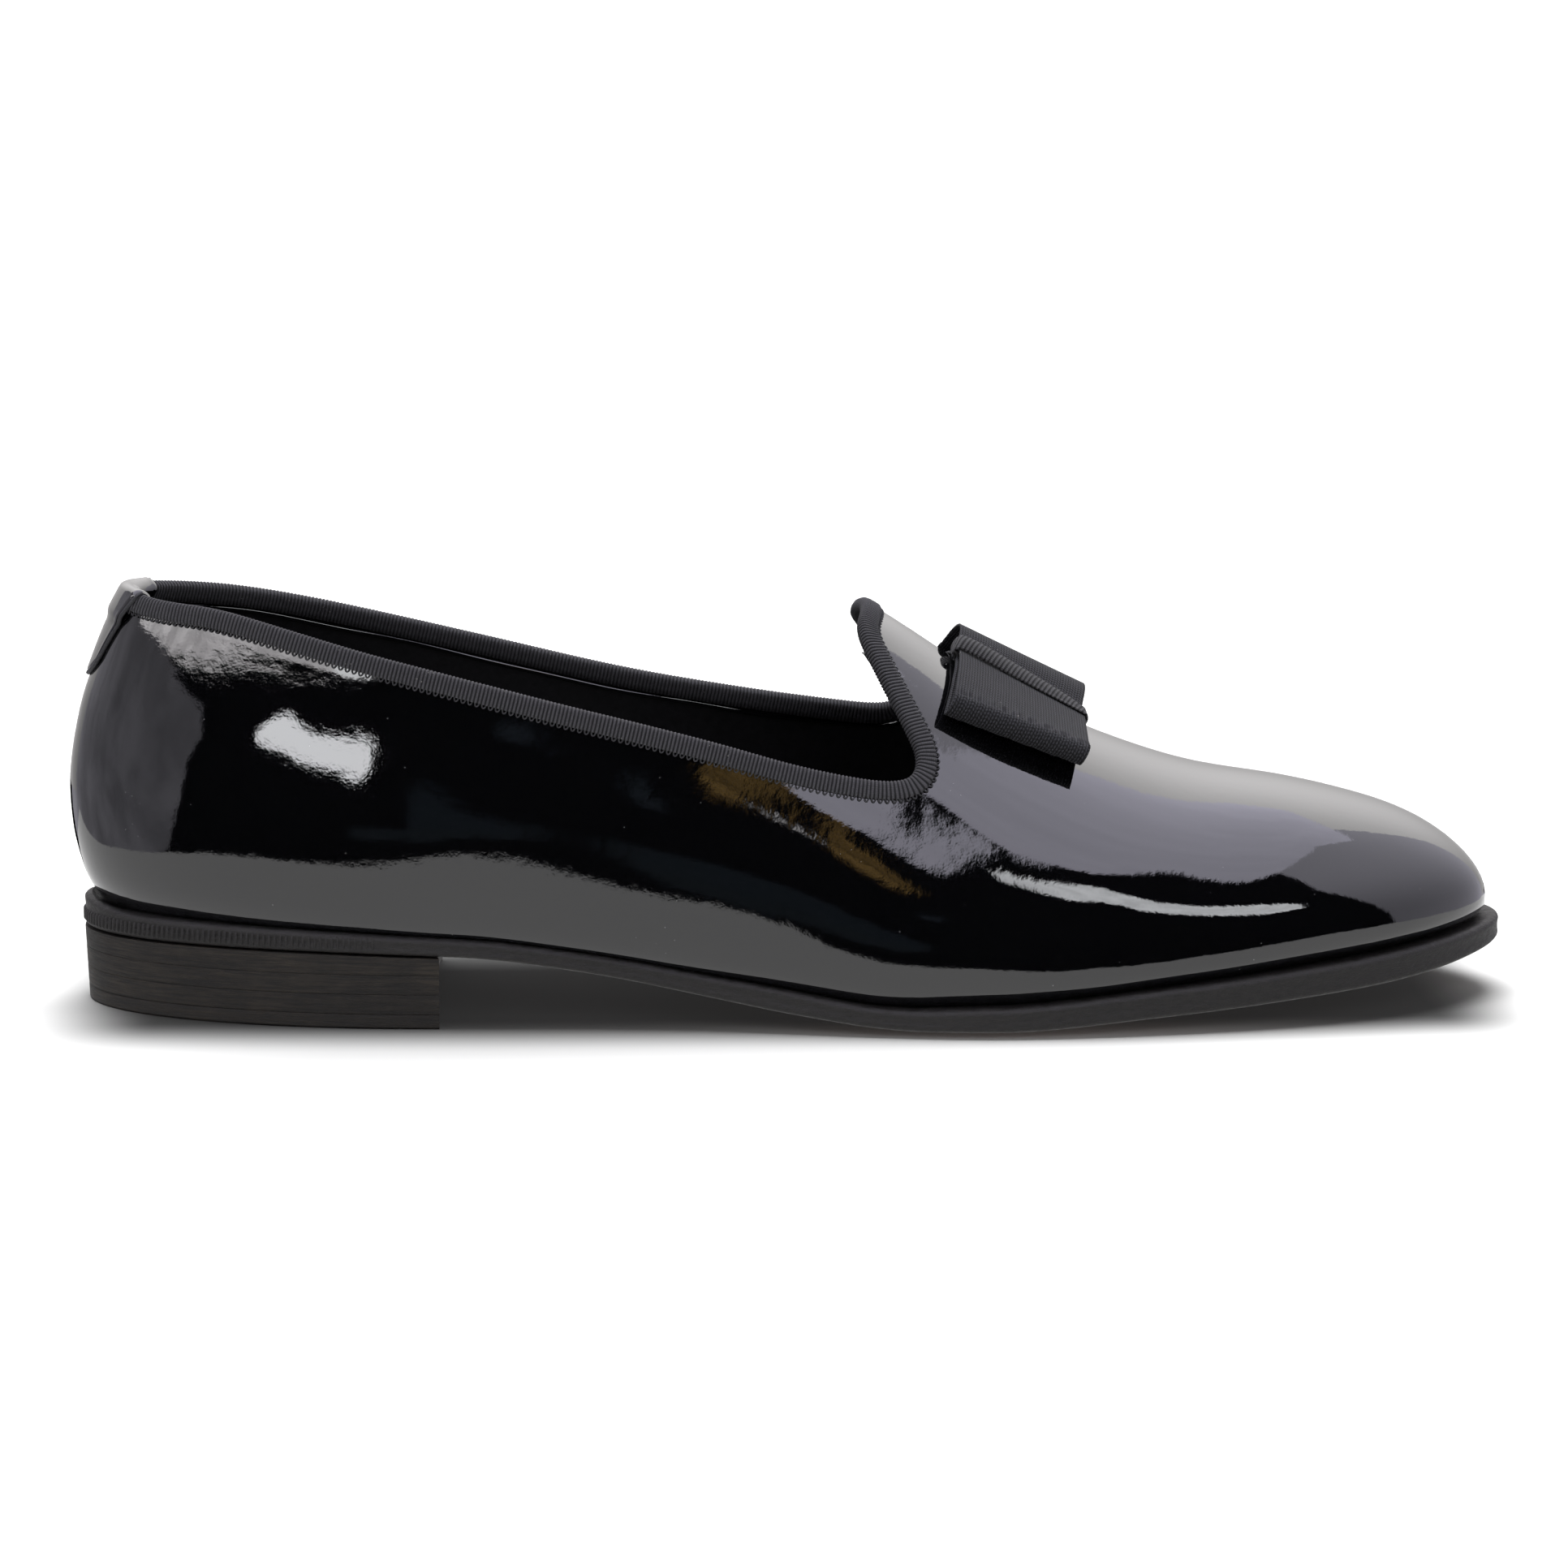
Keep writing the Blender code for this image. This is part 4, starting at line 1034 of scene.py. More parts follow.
@dataclass(frozen=True)
class TreadLeather(Finish):
    """Stained leather underside, reddish brown, with faint grain."""

    colour: Colour = (0.052, 0.021, 0.012)
    roughness: float = 0.42
    cloud_scale: float = 38.0
    dark: float = 0.45
    relief: float = 0.00010

    def wire(self, kit: Nodes, shader: bpy.types.Node) -> None:
        """Wires the clouded stain and the grain.

        Args:
            kit: wires the material's tree.
            shader: its principled shader.
        """
        place = kit.where()
        cloud = kit.noise(place, self.cloud_scale, 5.0, 0.6)
        grain = kit.effect(Effects.grain(), place, Coarse=700.0, Fine=2600.0, Share=0.7)
        kit.feed(shader, {
            "Base Color": kit.mix(kit.spread(cloud, 0.32, 0.68), tinted(self.colour, self.dark),
                                  tinted(self.colour)),
            "Roughness": kit.spread(cloud, 0.3, 0.7, self.roughness, self.roughness + 0.2),
            "Normal": kit.bump(grain, self.relief)})


@dataclass(frozen=True)
class Thread(Finish):
    """Waxed black sewing thread."""

    colour: Colour = (0.014, 0.014, 0.016)
    pale: float = 2.4
    twist_scale: float = 4200.0
    relief: float = 0.00006

    def wire(self, kit: Nodes, shader: bpy.types.Node) -> None:
        """Wires the twist.

        Args:
            kit: wires the material's tree.
            shader: its principled shader.
        """
        twist = kit.noise(kit.where(), self.twist_scale, 2.0)
        kit.feed(shader, {
            "Base Color": kit.mix(kit.spread(twist, 0.4, 0.65), tinted(self.colour),
                                  tinted(self.colour, self.pale)),
            "Roughness": kit.spread(twist, 0.3, 0.7, 0.38, 0.62),
            "Normal": kit.bump(twist, self.relief)})


@dataclass(frozen=True)
class PaleFloor(Finish):
    """Near-white floor with a soft painted shadow under the shoe, dark in its colour."""

    colour: Colour = (0.93, 0.93, 0.93)
    pale: Colour = (0.95, 0.95, 0.95)
    # painted shadow under the shoe: its colour, how strongly it darkens the floor, and its reach
    painted_shadow: Colour = (0.030, 0.030, 0.030)
    painted_shadow_share: float = 0.95
    half_length: tuple[float, float] = (0.132, 0.160)
    half_width: tuple[float, float] = (0.028, 0.056)

    def wire(self, kit: Nodes, shader: bpy.types.Node) -> None:
        """Wires the painted shadow, which fades out between its two half lengths and half widths.

        Args:
            kit: wires the material's tree.
            shader: its principled shader.
        """
        place = kit.where()
        tone = kit.mix(kit.noise(place, 3.0, 2.0), tinted(self.colour), tinted(self.pale))
        # painted shadow: the floor's colour darkens to near black in a box under the shoe, where
        # its shadow falls
        sides = [kit.spread(kit.math("ABSOLUTE", kit.parts(place)[axis]), *reach, 1.0, 0.0)
                 for axis, reach in (("X", self.half_length), ("Y", self.half_width))]
        painted_shadow = kit.times(kit.times(*sides), self.painted_shadow_share)
        kit.feed(shader, {"Base Color": kit.mix(painted_shadow, tone, tinted(self.painted_shadow)),
                          "Roughness": 0.9, "Specular IOR Level": 0.1})


@dataclass(frozen=True)
class FloorGlow(Finish):
    """A glowing sheet that only mirrors see: a painted reflection of the floor, not a lamp."""

    colour: Colour = (0.84, 0.84, 0.85)
    warm: Colour = (0.91, 0.905, 0.90)

    def wire(self, kit: Nodes, shader: bpy.types.Node) -> None:
        """Wires an even glow and no other light.

        Args:
            kit: wires the material's tree.
            shader: its principled shader.
        """
        # painted reflection: an even glow that stands in for the lit floor in the patent leather
        # and lights nothing else
        tone = kit.mix(kit.noise(kit.where(), 9.0, 3.0), tinted(self.colour), tinted(self.warm))
        kit.feed(shader, {"Base Color": (0, 0, 0, 1), "Specular IOR Level": 0.0,
                          "Emission Color": tone, "Emission Strength": 1.0})


@dataclass(frozen=True)
class Dent:
    """One soft trough or ridge of the upper."""

    x: float
    z: float
    long: float
    high: float
    depth: float
    side: int = -1
    lean: float = 0.0
    crossover: float = 0.016

    def at(self, points: Array) -> Array:
        """How far this dent moves each point outwards.

        Args:
            points: the upper's points.

        Returns:
            The distances.
        """
        dx, dz = points[..., 0] - self.x, points[..., 2] - self.z
        c, s = math.cos(self.lean), math.sin(self.lean)
        along, across = dx * c + dz * s, dz * c - dx * s
        y = points[..., 1] - LAST.centre_line(points[..., 0])
        here = np.clip(0.5 + self.side * y / self.crossover, 0, 1)
        return self.depth * here * np.exp(-(along / self.long) ** 2 - (across / self.high) ** 2)


@dataclass(frozen=True)
class Upper:
    """The one-piece patent upper, its lining, binding, stitches and heel tab."""

    columns: int = 210
    rows: int = 84
    binding_depth: float = 0.0031
    binding_wall: float = 0.00055
    rib_pitch: float = 0.00078
    rib_steps: int = 6
    rib_height: float = 0.00017
    stitch_pitch: float = 0.00142
    tab_height: float = 0.0175
    tab_inside: float = 0.0090
    tab_half_width: float = 0.0092
    tab_wall: float = 0.00062
    tab_piping: float = 0.00046
    tab_end_width: float = 0.66
    skive: float = 0.016
    margin: float = 0.004
    smoothing: int = 25
    rim_smoothing: int = 11
    stitch_depth: float = 0.00080
    stitch_radius: float = 0.00018
    stitch_sides: int = 5
    dents: tuple[Dent, ...] = (
        Dent(0.030, 0.070, 0.010, 0.012, -0.00016, lean=0.4),
        Dent(0.026, 0.048, 0.007, 0.014, 0.00012),
        Dent(0.046, 0.078, 0.016, 0.004, 0.00014, lean=-0.25),
        Dent(0.060, 0.056, 0.018, 0.010, -0.00012, lean=-0.3),
        Dent(0.085, 0.040, 0.030, 0.006, 0.00010),
        Dent(0.120, 0.052, 0.022, 0.008, -0.00012, lean=-0.2),
        Dent(0.156, 0.043, 0.010, 0.007, 0.00010, lean=-0.5),
        Dent(0.176, 0.040, 0.009, 0.006, -0.00010, lean=-0.4),
        Dent(0.200, 0.034, 0.020, 0.005, 0.00010, lean=-0.1),
        Dent(0.232, 0.030, 0.016, 0.005, -0.00012),
        Dent(0.186, 0.068, 0.010, 0.008, -0.00014, lean=0.5),
        Dent(0.060, 0.052, 0.020, 0.012, -0.00012, side=1),
        Dent(0.130, 0.046, 0.024, 0.008, 0.00014, side=1),
        Dent(0.180, 0.040, 0.014, 0.008, -0.00018, side=1),
        Dent(0.225, 0.032, 0.018, 0.006, 0.00012, side=1),
    )

    def surface(self) -> Array:
        """The outside with its soft dents, which fade out at the edges.

        Returns:
            Points, as Last.grid() gives them.
        """
        grid = LAST.grid(self.columns, self.rows)
        normal = ring_normals(grid)
        moved = sum(dent.at(grid) for dent in self.dents)
        level = np.linspace(0, 1, self.rows)
        fade = np.clip(level / 0.08, 0, 1) * np.clip((1 - level) / 0.08, 0, 1)
        return grid + normal * (moved * fade)[..., None]

    def build(self, patent: Material, lining: Material, grosgrain: Material,
              thread: Material) -> None:
        """Makes and dresses every piece of the upper.

        Args:
            patent: finish of the upper and its tab.
            lining: finish of the inside.
            grosgrain: finish of the binding.
            thread: finish of the stitches and the piping.
        """
        grid = self.surface()
        normal = ring_normals(grid)
        self.shell(grid, normal, patent, lining)
        self.binding(grid, normal, grosgrain, thread, patent)
        self.heel_tab(patent, thread)

    def shell(self, grid: Array, normal: Array, patent: Material, lining: Material) -> None:
        """The patent outside with its cut edge, and the lining down to the insole.

        Args:
            grid: the outside.
            normal: its outward normals.
            patent: finish of the outside.
            lining: finish of the inside.
        """
        steps = np.linalg.norm(np.diff(grid[:, ::-1], axis=1), axis=-1)
        depth = np.concatenate([np.zeros((len(grid), 1)), np.cumsum(steps, axis=1)], axis=1)
        share = np.clip((depth[:, ::-1] - self.binding_depth) / self.skive, 0, 1)
        wall = LAST.rim_wall + (LAST.wall - LAST.rim_wall) * share
        inner = grid - normal * wall[..., None]
        cut = grid[:, -1] - normal[:, -1] * 0.5 * LAST.rim_wall
        tucked = grid[:, 0].copy()
        spine = LAST.spine(tucked[:, 0])
        middle = np.stack([spine, LAST.centre_line(spine), tucked[:, 2]], -1)
        tucked = tucked + unit(middle - tucked) * self.margin
        outer = np.concatenate([tucked[:, None], grid, cut[:, None]], axis=1)
        shell = MeshShop.grid("patent_upper", outer.transpose(1, 0, 2), Wrap.ROUND)
        MeshShop.dressed(shell, patent, "black_patent", ("upper",))
        inside = np.concatenate([cut[:, None], inner[:, ::-1][:, :-3]], axis=1)
        lined = MeshShop.grid("upper_lining", inside.transpose(1, 0, 2), Wrap.ROUND)
        MeshShop.dressed(lined, lining, "sock_leather_black")

    def binding(self, grid: Array, normal: Array, grosgrain: Material, thread: Material,
                patent: Material) -> None:
        """Ribbed ribbon folded over the rim, with its stitches and the turned edge.

        Args:
            grid: the upper's outside.
            normal: its outward normals.
            grosgrain: finish of the ribbon.
            thread: finish of the stitches.
            patent: finish of the turned edge.
        """
        rim = np.concatenate([grid[:, -1], grid[:1, -1]])
        out = np.concatenate([normal[:, -1], normal[:1, -1]])
        count = int(round(arc(rim)[-1] / (self.rib_pitch / self.rib_steps)))
        shares = np.linspace(0, 1, count, endpoint=False)
        rim, out = resampled(rim, shares, [out])
        out = unit(self.smoothed(out, self.smoothing))
        rim = self.smoothed(rim, self.rim_smoothing)
        tangent = unit(np.roll(rim, -1, 0) - np.roll(rim, 1, 0))
        up = unit(np.cross(out, tangent))
        up *= np.sign(np.sum(up * np.array([-0.25, 0.0, 1.0]), axis=1, keepdims=True))
        up = unit(self.smoothed(up, self.smoothing))
        leg, wall, gap = self.binding_depth, self.binding_wall, LAST.gap
        foot = LAST.reach(rim - up * leg - out * 0.008, rim - up * leg)
        thick = gap + wall
        profile = (
            (-LAST.rim_wall - gap, -leg, 0.0), (-LAST.rim_wall - thick, -leg, 0.4),
            (-LAST.rim_wall - thick, -0.55 * leg, 0.8), (-LAST.rim_wall - thick, -0.15 * leg, 1.0),
            (-LAST.rim_wall - 0.80 * thick, 0.35 * thick, 1.0),
            (-LAST.rim_wall - 0.30 * thick, 0.85 * thick, 1.0),
            (-0.5 * LAST.rim_wall, 1.05 * thick, 1.0), (0.30 * thick, 0.85 * thick, 1.0),
            (0.80 * thick, 0.35 * thick, 1.0), (thick, -0.15 * leg, 1.0),
            (thick, -0.40 * leg, 1.0), (thick, -0.65 * leg, 1.0), (0.97 * thick, -0.86 * leg, 0.7),
            (0.72 * thick, -0.98 * leg, 0.3), (0.35 * thick, -leg, 0.0),
        )
        phase = 2 * math.pi * np.arange(count) / self.rib_steps
        rib = self.rib_height * (0.5 + 0.5 * np.sin(phase))
        step = np.arange(count)
        wobble = 1 + 0.10 * np.sin(step * 0.013) + 0.06 * np.sin(step * 0.037)
        loops, uv = [], []
        length = step * self.rib_pitch / self.rib_steps
        run = 0.0
        for k, (across, rise, share) in enumerate(profile):
            base = rim + (foot - rim) * (-rise / leg) if rise < 0 else rim + up * rise
            centre = -0.5 * LAST.rim_wall
            push = np.sign(across - centre) if abs(across - centre) > 2e-4 else 0.0
            grow = rib * share * wobble
            point = base + out * (across + push * grow)[:, None]
            point = point + up * (grow * (1 if rise > 0 else 0))[:, None]
            loops.append(point)
            if k:
                run += math.dist(profile[k - 1][:2], (across, rise))
            uv.append(np.stack([length, np.full(count, run)], -1))
        ring = MeshShop.grid("edge_binding", np.array(loops), Wrap.ROUND, np.array(uv), flip=True)
        MeshShop.dressed(ring, grosgrain, "black_grosgrain", ("collar_binding",))
        self.stitches(out, up, foot, thread)
        self.facing(rim, out, up, patent)

    @staticmethod
    def smoothed(values: Array, width: int) -> Array:
        """A closed run of rows averaged over a window of that width.

        Args:
            values: the rows.
            width: how many rows the window spans.

        Returns:
            The averaged rows.
        """
        kernel = np.hanning(width + 2)[1:-1]
        kernel /= kernel.sum()
        half = width // 2
        padded = np.concatenate([values[-half:], values, values[:half]])
        return np.stack([np.convolve(column, kernel, "valid") for column in padded.T], -1)

    def stitches(self, out: Array, up: Array, foot: Array, thread: Material) -> None:
        """Small bights of thread that bite over the binding's lower edge.

        Args:
            out: outward normals along the binding.
            up: the wall's upward directions.
            foot: points of the lower edge.
            thread: finish.
        """
        closed = [np.concatenate([a, a[:1]]) for a in (foot, out, up)]
        count = int(round(arc(closed[0])[-1] / self.stitch_pitch))
        shares = (np.arange(count) + 0.5) / count
        edge, normal, rise = resampled(closed[0], shares, closed[1:])
        side = unit(np.cross(unit(rise), unit(normal)))
        turn = np.linspace(0, math.pi, 7)
        half = 0.30 * self.stitch_pitch
        points, faces = [], []
        lift = np.array([0.00050, 0.00030, 0.00022, 0.00020, 0.00022, 0.00030, 0.00050])
        for k in range(count):
            path = (edge[k] + side[k] * (half * np.cos(turn))[:, None]
                    - unit(rise[k]) * (self.stitch_depth * np.sin(turn) - 0.00014)[:, None]
                    + unit(normal[k]) * lift[:, None])
            points.append(MeshShop.tube(path, self.stitch_radius, self.stitch_sides).reshape(-1, 3))
            faces += MeshShop.quads(len(turn), self.stitch_sides, Wrap.ROUND,
                                    k * len(turn) * self.stitch_sides)
        made = MeshShop.raw("binding_stitches", np.concatenate(points), faces)
        MeshShop.dressed(made, thread, "black_grosgrain")

    def facing(self, rim: Array, out: Array, up: Array, patent: Material) -> None:
        """The narrow glossy turned edge that shows inside, just under the binding.

        Args:
            rim: points of the topline.
            out: outward normals along it.
            up: the wall's upward directions.
            patent: finish.
        """
        step = np.arange(len(rim))
        wander = 0.00022 * np.sin(step * 0.021) * np.sin(step * 0.0047)
        rows = []
        for turn in np.linspace(0.15, 1.0, 6) * math.pi:
            drop = self.binding_depth + 0.0005 + wander + 0.00055 * (1 - math.cos(turn))
            into = LAST.rim_wall + 0.00010 + 0.00055 * math.sin(turn)
            rows.append(rim - up * drop[:, None] - out * into)
        made = MeshShop.grid("turned_edge", np.array(rows), Wrap.ROUND)
        MeshShop.dressed(made, patent, "black_patent")

    def heel_tab(self, patent: Material, piping_finish: Material) -> None:
        """Patent tab over the back seam, with its rolled edge.

        Args:
            patent: finish of the tab.
            piping_finish: finish of its rolled edge.
        """
        near = 300
        rim = np.concatenate([LAST.topline(-1)[:near][::-1], LAST.topline(1)[1:near]])

        def rim_at(y: Array) -> Array:
            """Height of the topline at an offset from the seam."""
            return np.interp(y, rim[:, 1], rim[:, 2])

        def wall_normal(y: Array, z: Array) -> Array:
            """Outward normal of the heel's back.

            Args:
                y: offsets from the seam.
                z: heights.

            Returns:
                The normals.
            """
            step = 1e-4
            along = LAST.back_wall(y + step, z) - LAST.back_wall(y - step, z)
            rise = LAST.back_wall(y, z + step) - LAST.back_wall(y, z - step)
            return unit(np.cross(rise, along))

        columns = np.linspace(-1, 1, 49)
        seat = LAST.gap + self.binding_wall + 0.00016
        round_end = self.tab_height * 0.34 * (1 - np.sqrt(1 - 0.97 * columns**2))
        edge = np.clip((1 - np.abs(columns)) / 0.09, 0, 1)
        roll = 0.00010 * np.exp(-((1 - np.abs(columns)) / 0.07 - 0.9) ** 2)
        thin = self.tab_wall * np.sqrt(np.clip(1 - (1 - edge) ** 2, 0.02, 1))
        outer = []
        for level in np.linspace(0, 1, 26):
            wide = self.tab_half_width * (self.tab_end_width + (1 - self.tab_end_width) * level)
            y = columns * wide
            low = rim_at(np.zeros(1))[0] - self.tab_height + round_end
            z = low + (rim_at(y) - low) * level
            lap = np.clip((z - rim_at(y) + self.binding_depth + 0.0032) / 0.0022, 0, 1)
            lift = LAST.gap + (seat - LAST.gap) * smooth(lap)
            end = np.sqrt(np.clip(1 - (1 - min(1, level / 0.05)) ** 2, 0.02, 1))
            raised = np.minimum(thin, self.tab_wall * end) + roll
            outer.append(LAST.back_wall(y, z) + wall_normal(y, z) * (lift + raised)[:, None])
        y = columns * self.tab_half_width
        z = rim_at(y)
        normal, top = wall_normal(y, z), LAST.back_wall(y, z)
        rise = unit(np.cross(normal, np.gradient(top, axis=0)))
        rise = rise * np.sign(rise[:, 2:])
        middle = top - normal * LAST.rim_wall / 2
        for turn in np.radians(np.linspace(12, 168, 14)):
            reach_out = LAST.rim_wall / 2 + seat + LAST.gap * (1 - math.cos(turn)) / 2
            body = thin + roll
            outer.append(middle + normal * ((reach_out + body) * math.cos(turn))[:, None]
                         + rise * ((seat + 0.0001 + body) * math.sin(turn))[:, None])
        for level in np.linspace(0, 1, 12):
            y = columns * self.tab_half_width * (1 - 0.14 * level)
            z = rim_at(y) - self.tab_inside * level * (1 - 0.25 * columns**2)
            drop = LAST.rim_wall + (LAST.wall - LAST.rim_wall) * 0.9 * level
            base = max(LAST.rim_wall + seat, drop + LAST.gap) + LAST.gap
            outer.append(LAST.back_wall(y, z) - wall_normal(y, z) * (base + thin)[:, None])
        tab = MeshShop.grid("patent_heel_tab", np.array(outer), Wrap.OPEN, flip=True)
        MeshShop.dressed(tab, patent, "black_patent", ("heel_tab",))
        sheet = np.array(outer)
        edge_rows = 30
        edge_path = np.concatenate([sheet[edge_rows:0:-1, 0], sheet[0],
                                    sheet[1:edge_rows + 1, -1]])
        edge_path = resampled(edge_path, np.linspace(0, 1, 160))[0]
        piping = MeshShop.tube(edge_path, self.tab_piping, 10)
        made = MeshShop.grid("tab_piping", piping, Wrap.ROUND)
        MeshShop.dressed(made, piping_finish, "black_patent")


@dataclass
class Bow:
    """The flat ribbon bow: one loop of ribbon, gathered by a narrow band."""

    length: float = 0.0300
    half_span: float = 0.0258
    station: float = 0.1946
    offset: float = 0.0015
    ribbon_wall: float = 0.0005
    loft: float = 0.0044
    twist: float = 0.0023
    band_width: float = 0.0058
    band_wall: float = 0.0005
    nest_gap: float = 0.0002
    fold_share: float = 0.915
    fold_reach: float = 0.0022
    fold_rib: float = 0.00016
    fold_pitch: float = 0.00085
    band_ease: float = 0.0006
    band_corner: float = 0.0012

    RUNS = (
        (-0.915, -1.400, -0.400), (-0.75, -0.98, -0.180), (-0.60, -0.62, 0.060),
        (-0.40, -0.18, 0.350), (-0.20, 0.20, 0.610), (0.00, 0.280, 0.740), (0.16, 0.300, 0.900),
        (0.32, 0.270, 1.360), (0.46, 0.140, 1.610), (0.60, -0.100, 1.600),
        (0.76, -0.460, 1.250), (0.915, -0.560, 0.440),
    )
    ARCH = ((-0.5, 0.80), (-0.3, 1.03), (0.0, 1.19), (0.25, 1.23), (0.5, 1.23))

    def __post_init__(self) -> None:
        """Sets up the bow's own frame on the vamp."""
        step = 0.02 * LAST.length
        rise = (LAST.ridge(self.station + step) - LAST.ridge(self.station - step)) / (2 * step)
        self.along = unit(np.array([1.0, 0.0, float(rise)]))
        self.off = np.array([-self.along[2], 0.0, self.along[0]])
        self.centre = np.array([self.station, self.offset, float(LAST.ridge(self.station))])
        self.low, self.high = Spline(self.RUNS, 1), Spline(self.RUNS, 2)
        self.arch = Spline(self.ARCH)

    def points(self, a: Array, b: Array, height: Array) -> Array:
        """Places in the bow's frame as points.

        Args:
            a: places along the shoe, from the bow's middle.
            b: places across it.
            height: heights off the bow's plane.

        Returns:
            The points.
        """
        across = np.array([0.0, 1.0, 0.0])
        return (self.centre + a[..., None] * self.along + b[..., None] * across
                + height[..., None] * self.off)

    def vamp(self, a: Array, b: Array) -> Array:
        """Height of the vamp off the bow's plane.

        Args:
            a: places along the shoe, from the bow's middle.
            b: places across it.

        Returns:
            The heights.
        """
        spot = self.points(a, b, np.zeros_like(a))
        hit = LAST.reach(spot - 0.9 * self.half_span * self.off, spot)
        return np.sum((hit - spot) * self.off, axis=-1)

    def runs(self, a: Array, b: Array) -> tuple[Array, Array]:
        """Heights of the ribbon's lower and upper run.

        Args:
            a: places along the shoe, from the bow's middle.
            b: places across it.

        Returns:
            The lower heights, then the upper ones.
        """
        share = b / self.half_span
        twist = self.twist * share**2 * a / (0.5 * self.length)
        low = self.low(share) * self.loft + twist
        high = self.high(share) * self.loft + 0.8 * twist
        near = np.exp(-(b / (0.75 * self.band_width)) ** 6)
        floor = (self.vamp(a, b) + LAST.gap + self.ribbon_wall / 2
                 + (self.band_wall + self.nest_gap) * near)
        low = np.maximum(low, floor)
        return low, np.maximum(high, low + self.ribbon_wall + self.nest_gap)

    def build(self, ribbon: Material, band: Material) -> None:
        """Makes and dresses the ribbon and its band."""
        self.ribbon(ribbon)
        self.band(band)

    @staticmethod
    def section(run: Array, low: Array, high: Array, bulge: float, turns: int) -> list[Array]:
        """Closed section: out along the lower run, round a fold, and back along the upper.

        Args:
            run: places along the section, as far one way as the other.
            low: heights of the lower run.
            high: heights of the upper run.
            bulge: how far each fold reaches past the run.
            turns: points round a fold, with its two ends.

        Returns:
            Places, heights, lengths travelled, and the two shares of the outward normal.
        """
        turn = np.linspace(-0.5, 0.5, turns)[1:-1] * math.pi
        fold = run[-1] + bulge * np.cos(turn)
        ends = [(low[k] + high[k]) / 2 + (high[k] - low[k]) / 2 * np.sin(turn) for k in (-1, 0)]
        place = np.concatenate([run, fold, run[::-1], -fold])
        height = np.concatenate([low, ends[0], high[::-1], ends[1][::-1]])
        step, climb = (np.roll(line, -1) - np.roll(line, 1) for line in (place, height))
        size = np.hypot(step, climb)
        travel = np.concatenate([[0], np.cumsum(np.hypot(np.diff(place), np.diff(height)))])
        return [place, height, travel, climb / size, -step / size]

    @staticmethod
    def sheet(name: str, faces: list[list[Array]], uv: Array, flip: bool, finish: Material,
              node: str) -> None:
        """Makes and dresses a closed strip of ribbon.

        Args:
            name: the piece's name.
            faces: rows of the strip's outer face and of its inner face.
            uv: lengths in metres for the weave, one for each outer point.
            flip: turns the faces round.
            finish: the ribbon's finish.
            node: the solid that the piece stands for.
        """
        loops = np.concatenate([np.array(faces[0]), np.array(faces[1])[::-1]])
        made = MeshShop.grid(name, loops, Wrap.TORUS, np.concatenate([uv, uv[::-1]]), flip=flip)
        MeshShop.dressed(made, finish, "bow_ribbon_black", (node,))

    def ribbon(self, finish: Material) -> None:
        """The ribbon's loop, with soft ribs at its folds.

        Args:
            finish: the ribbon's finish.
        """
        flat = self.fold_share * self.half_span
        run = np.linspace(-1, 1, 121) * flat
        places = np.linspace(-0.5, 0.5, 41) * self.length
        aa, bb = np.meshgrid(places, run, indexing="ij")
        faces, lengths = [[], []], []
        for a, low, high in zip(places, *self.runs(aa, bb)):
            b, height, travel, out_b, out_h = self.section(run, low, high, self.half_span - flat,
                                                           25)
            fold = np.exp(-((np.abs(b) - 0.90 * self.half_span) / self.fold_reach) ** 2)
            rib = self.fold_rib * fold * np.sin(2 * math.pi * travel / self.fold_pitch)
            lengths.append(travel)
            for side, rows in zip((1, -1), faces):
                off = side * 0.5 * self.ribbon_wall + rib
                rows.append(self.points(np.full_like(b, a), b + out_b * off,
                                        height + out_h * off))
        travel = np.array(lengths)
        uv = np.stack([np.broadcast_to(places[:, None], travel.shape), travel], -1)
        self.sheet("bow_loop", faces, uv, True, finish, "bow_ribbon")

    def band(self, finish: Material) -> None:
        """The band round the ribbon's middle.

        Args:
            finish: the band's finish.
        """
        long = self.length / 2 + self.nest_gap + self.band_ease + self.band_wall / 2
        run = np.linspace(-1, 1, 91) * (long - self.band_corner)
        shares = np.linspace(-0.5, 0.5, 17)
        aa, bb = np.meshgrid(run, shares * self.band_width, indexing="xy")
        inside_a = np.clip(aa, -0.5 * self.length, 0.5 * self.length)
        lows = self.vamp(inside_a, bb) + LAST.gap + self.band_wall / 2
        faces, lengths = [[], []], []
        for share, low, top in zip(shares, lows, self.runs(aa, bb)[1]):
            clear = top + (self.ribbon_wall + self.band_wall) / 2 + self.nest_gap
            high = float(self.arch(share)) * self.loft * (1 - 0.16 * run / long)
            high = np.maximum(high, clear) - 0.0008 * (np.abs(run) / long) ** 6
            high = np.maximum(high, clear)
            a, height, travel, out_a, out_h = self.section(run, low, high, self.band_corner, 17)
            lengths.append(travel)
            edge = 1 - 0.5 * (abs(share) * 2) ** 12
            for side, rows in zip((1, -1), faces):
                off = side * 0.5 * self.band_wall * edge
                rows.append(self.points(a + out_a * off, np.full_like(a, share * self.band_width),
                                        height + out_h * off))
        travel = np.array(lengths)
        across = np.broadcast_to((shares * self.band_width)[:, None], travel.shape)
        self.sheet("bow_knot_band", faces, np.stack([travel, across], -1), False, finish,
                   "bow_band")


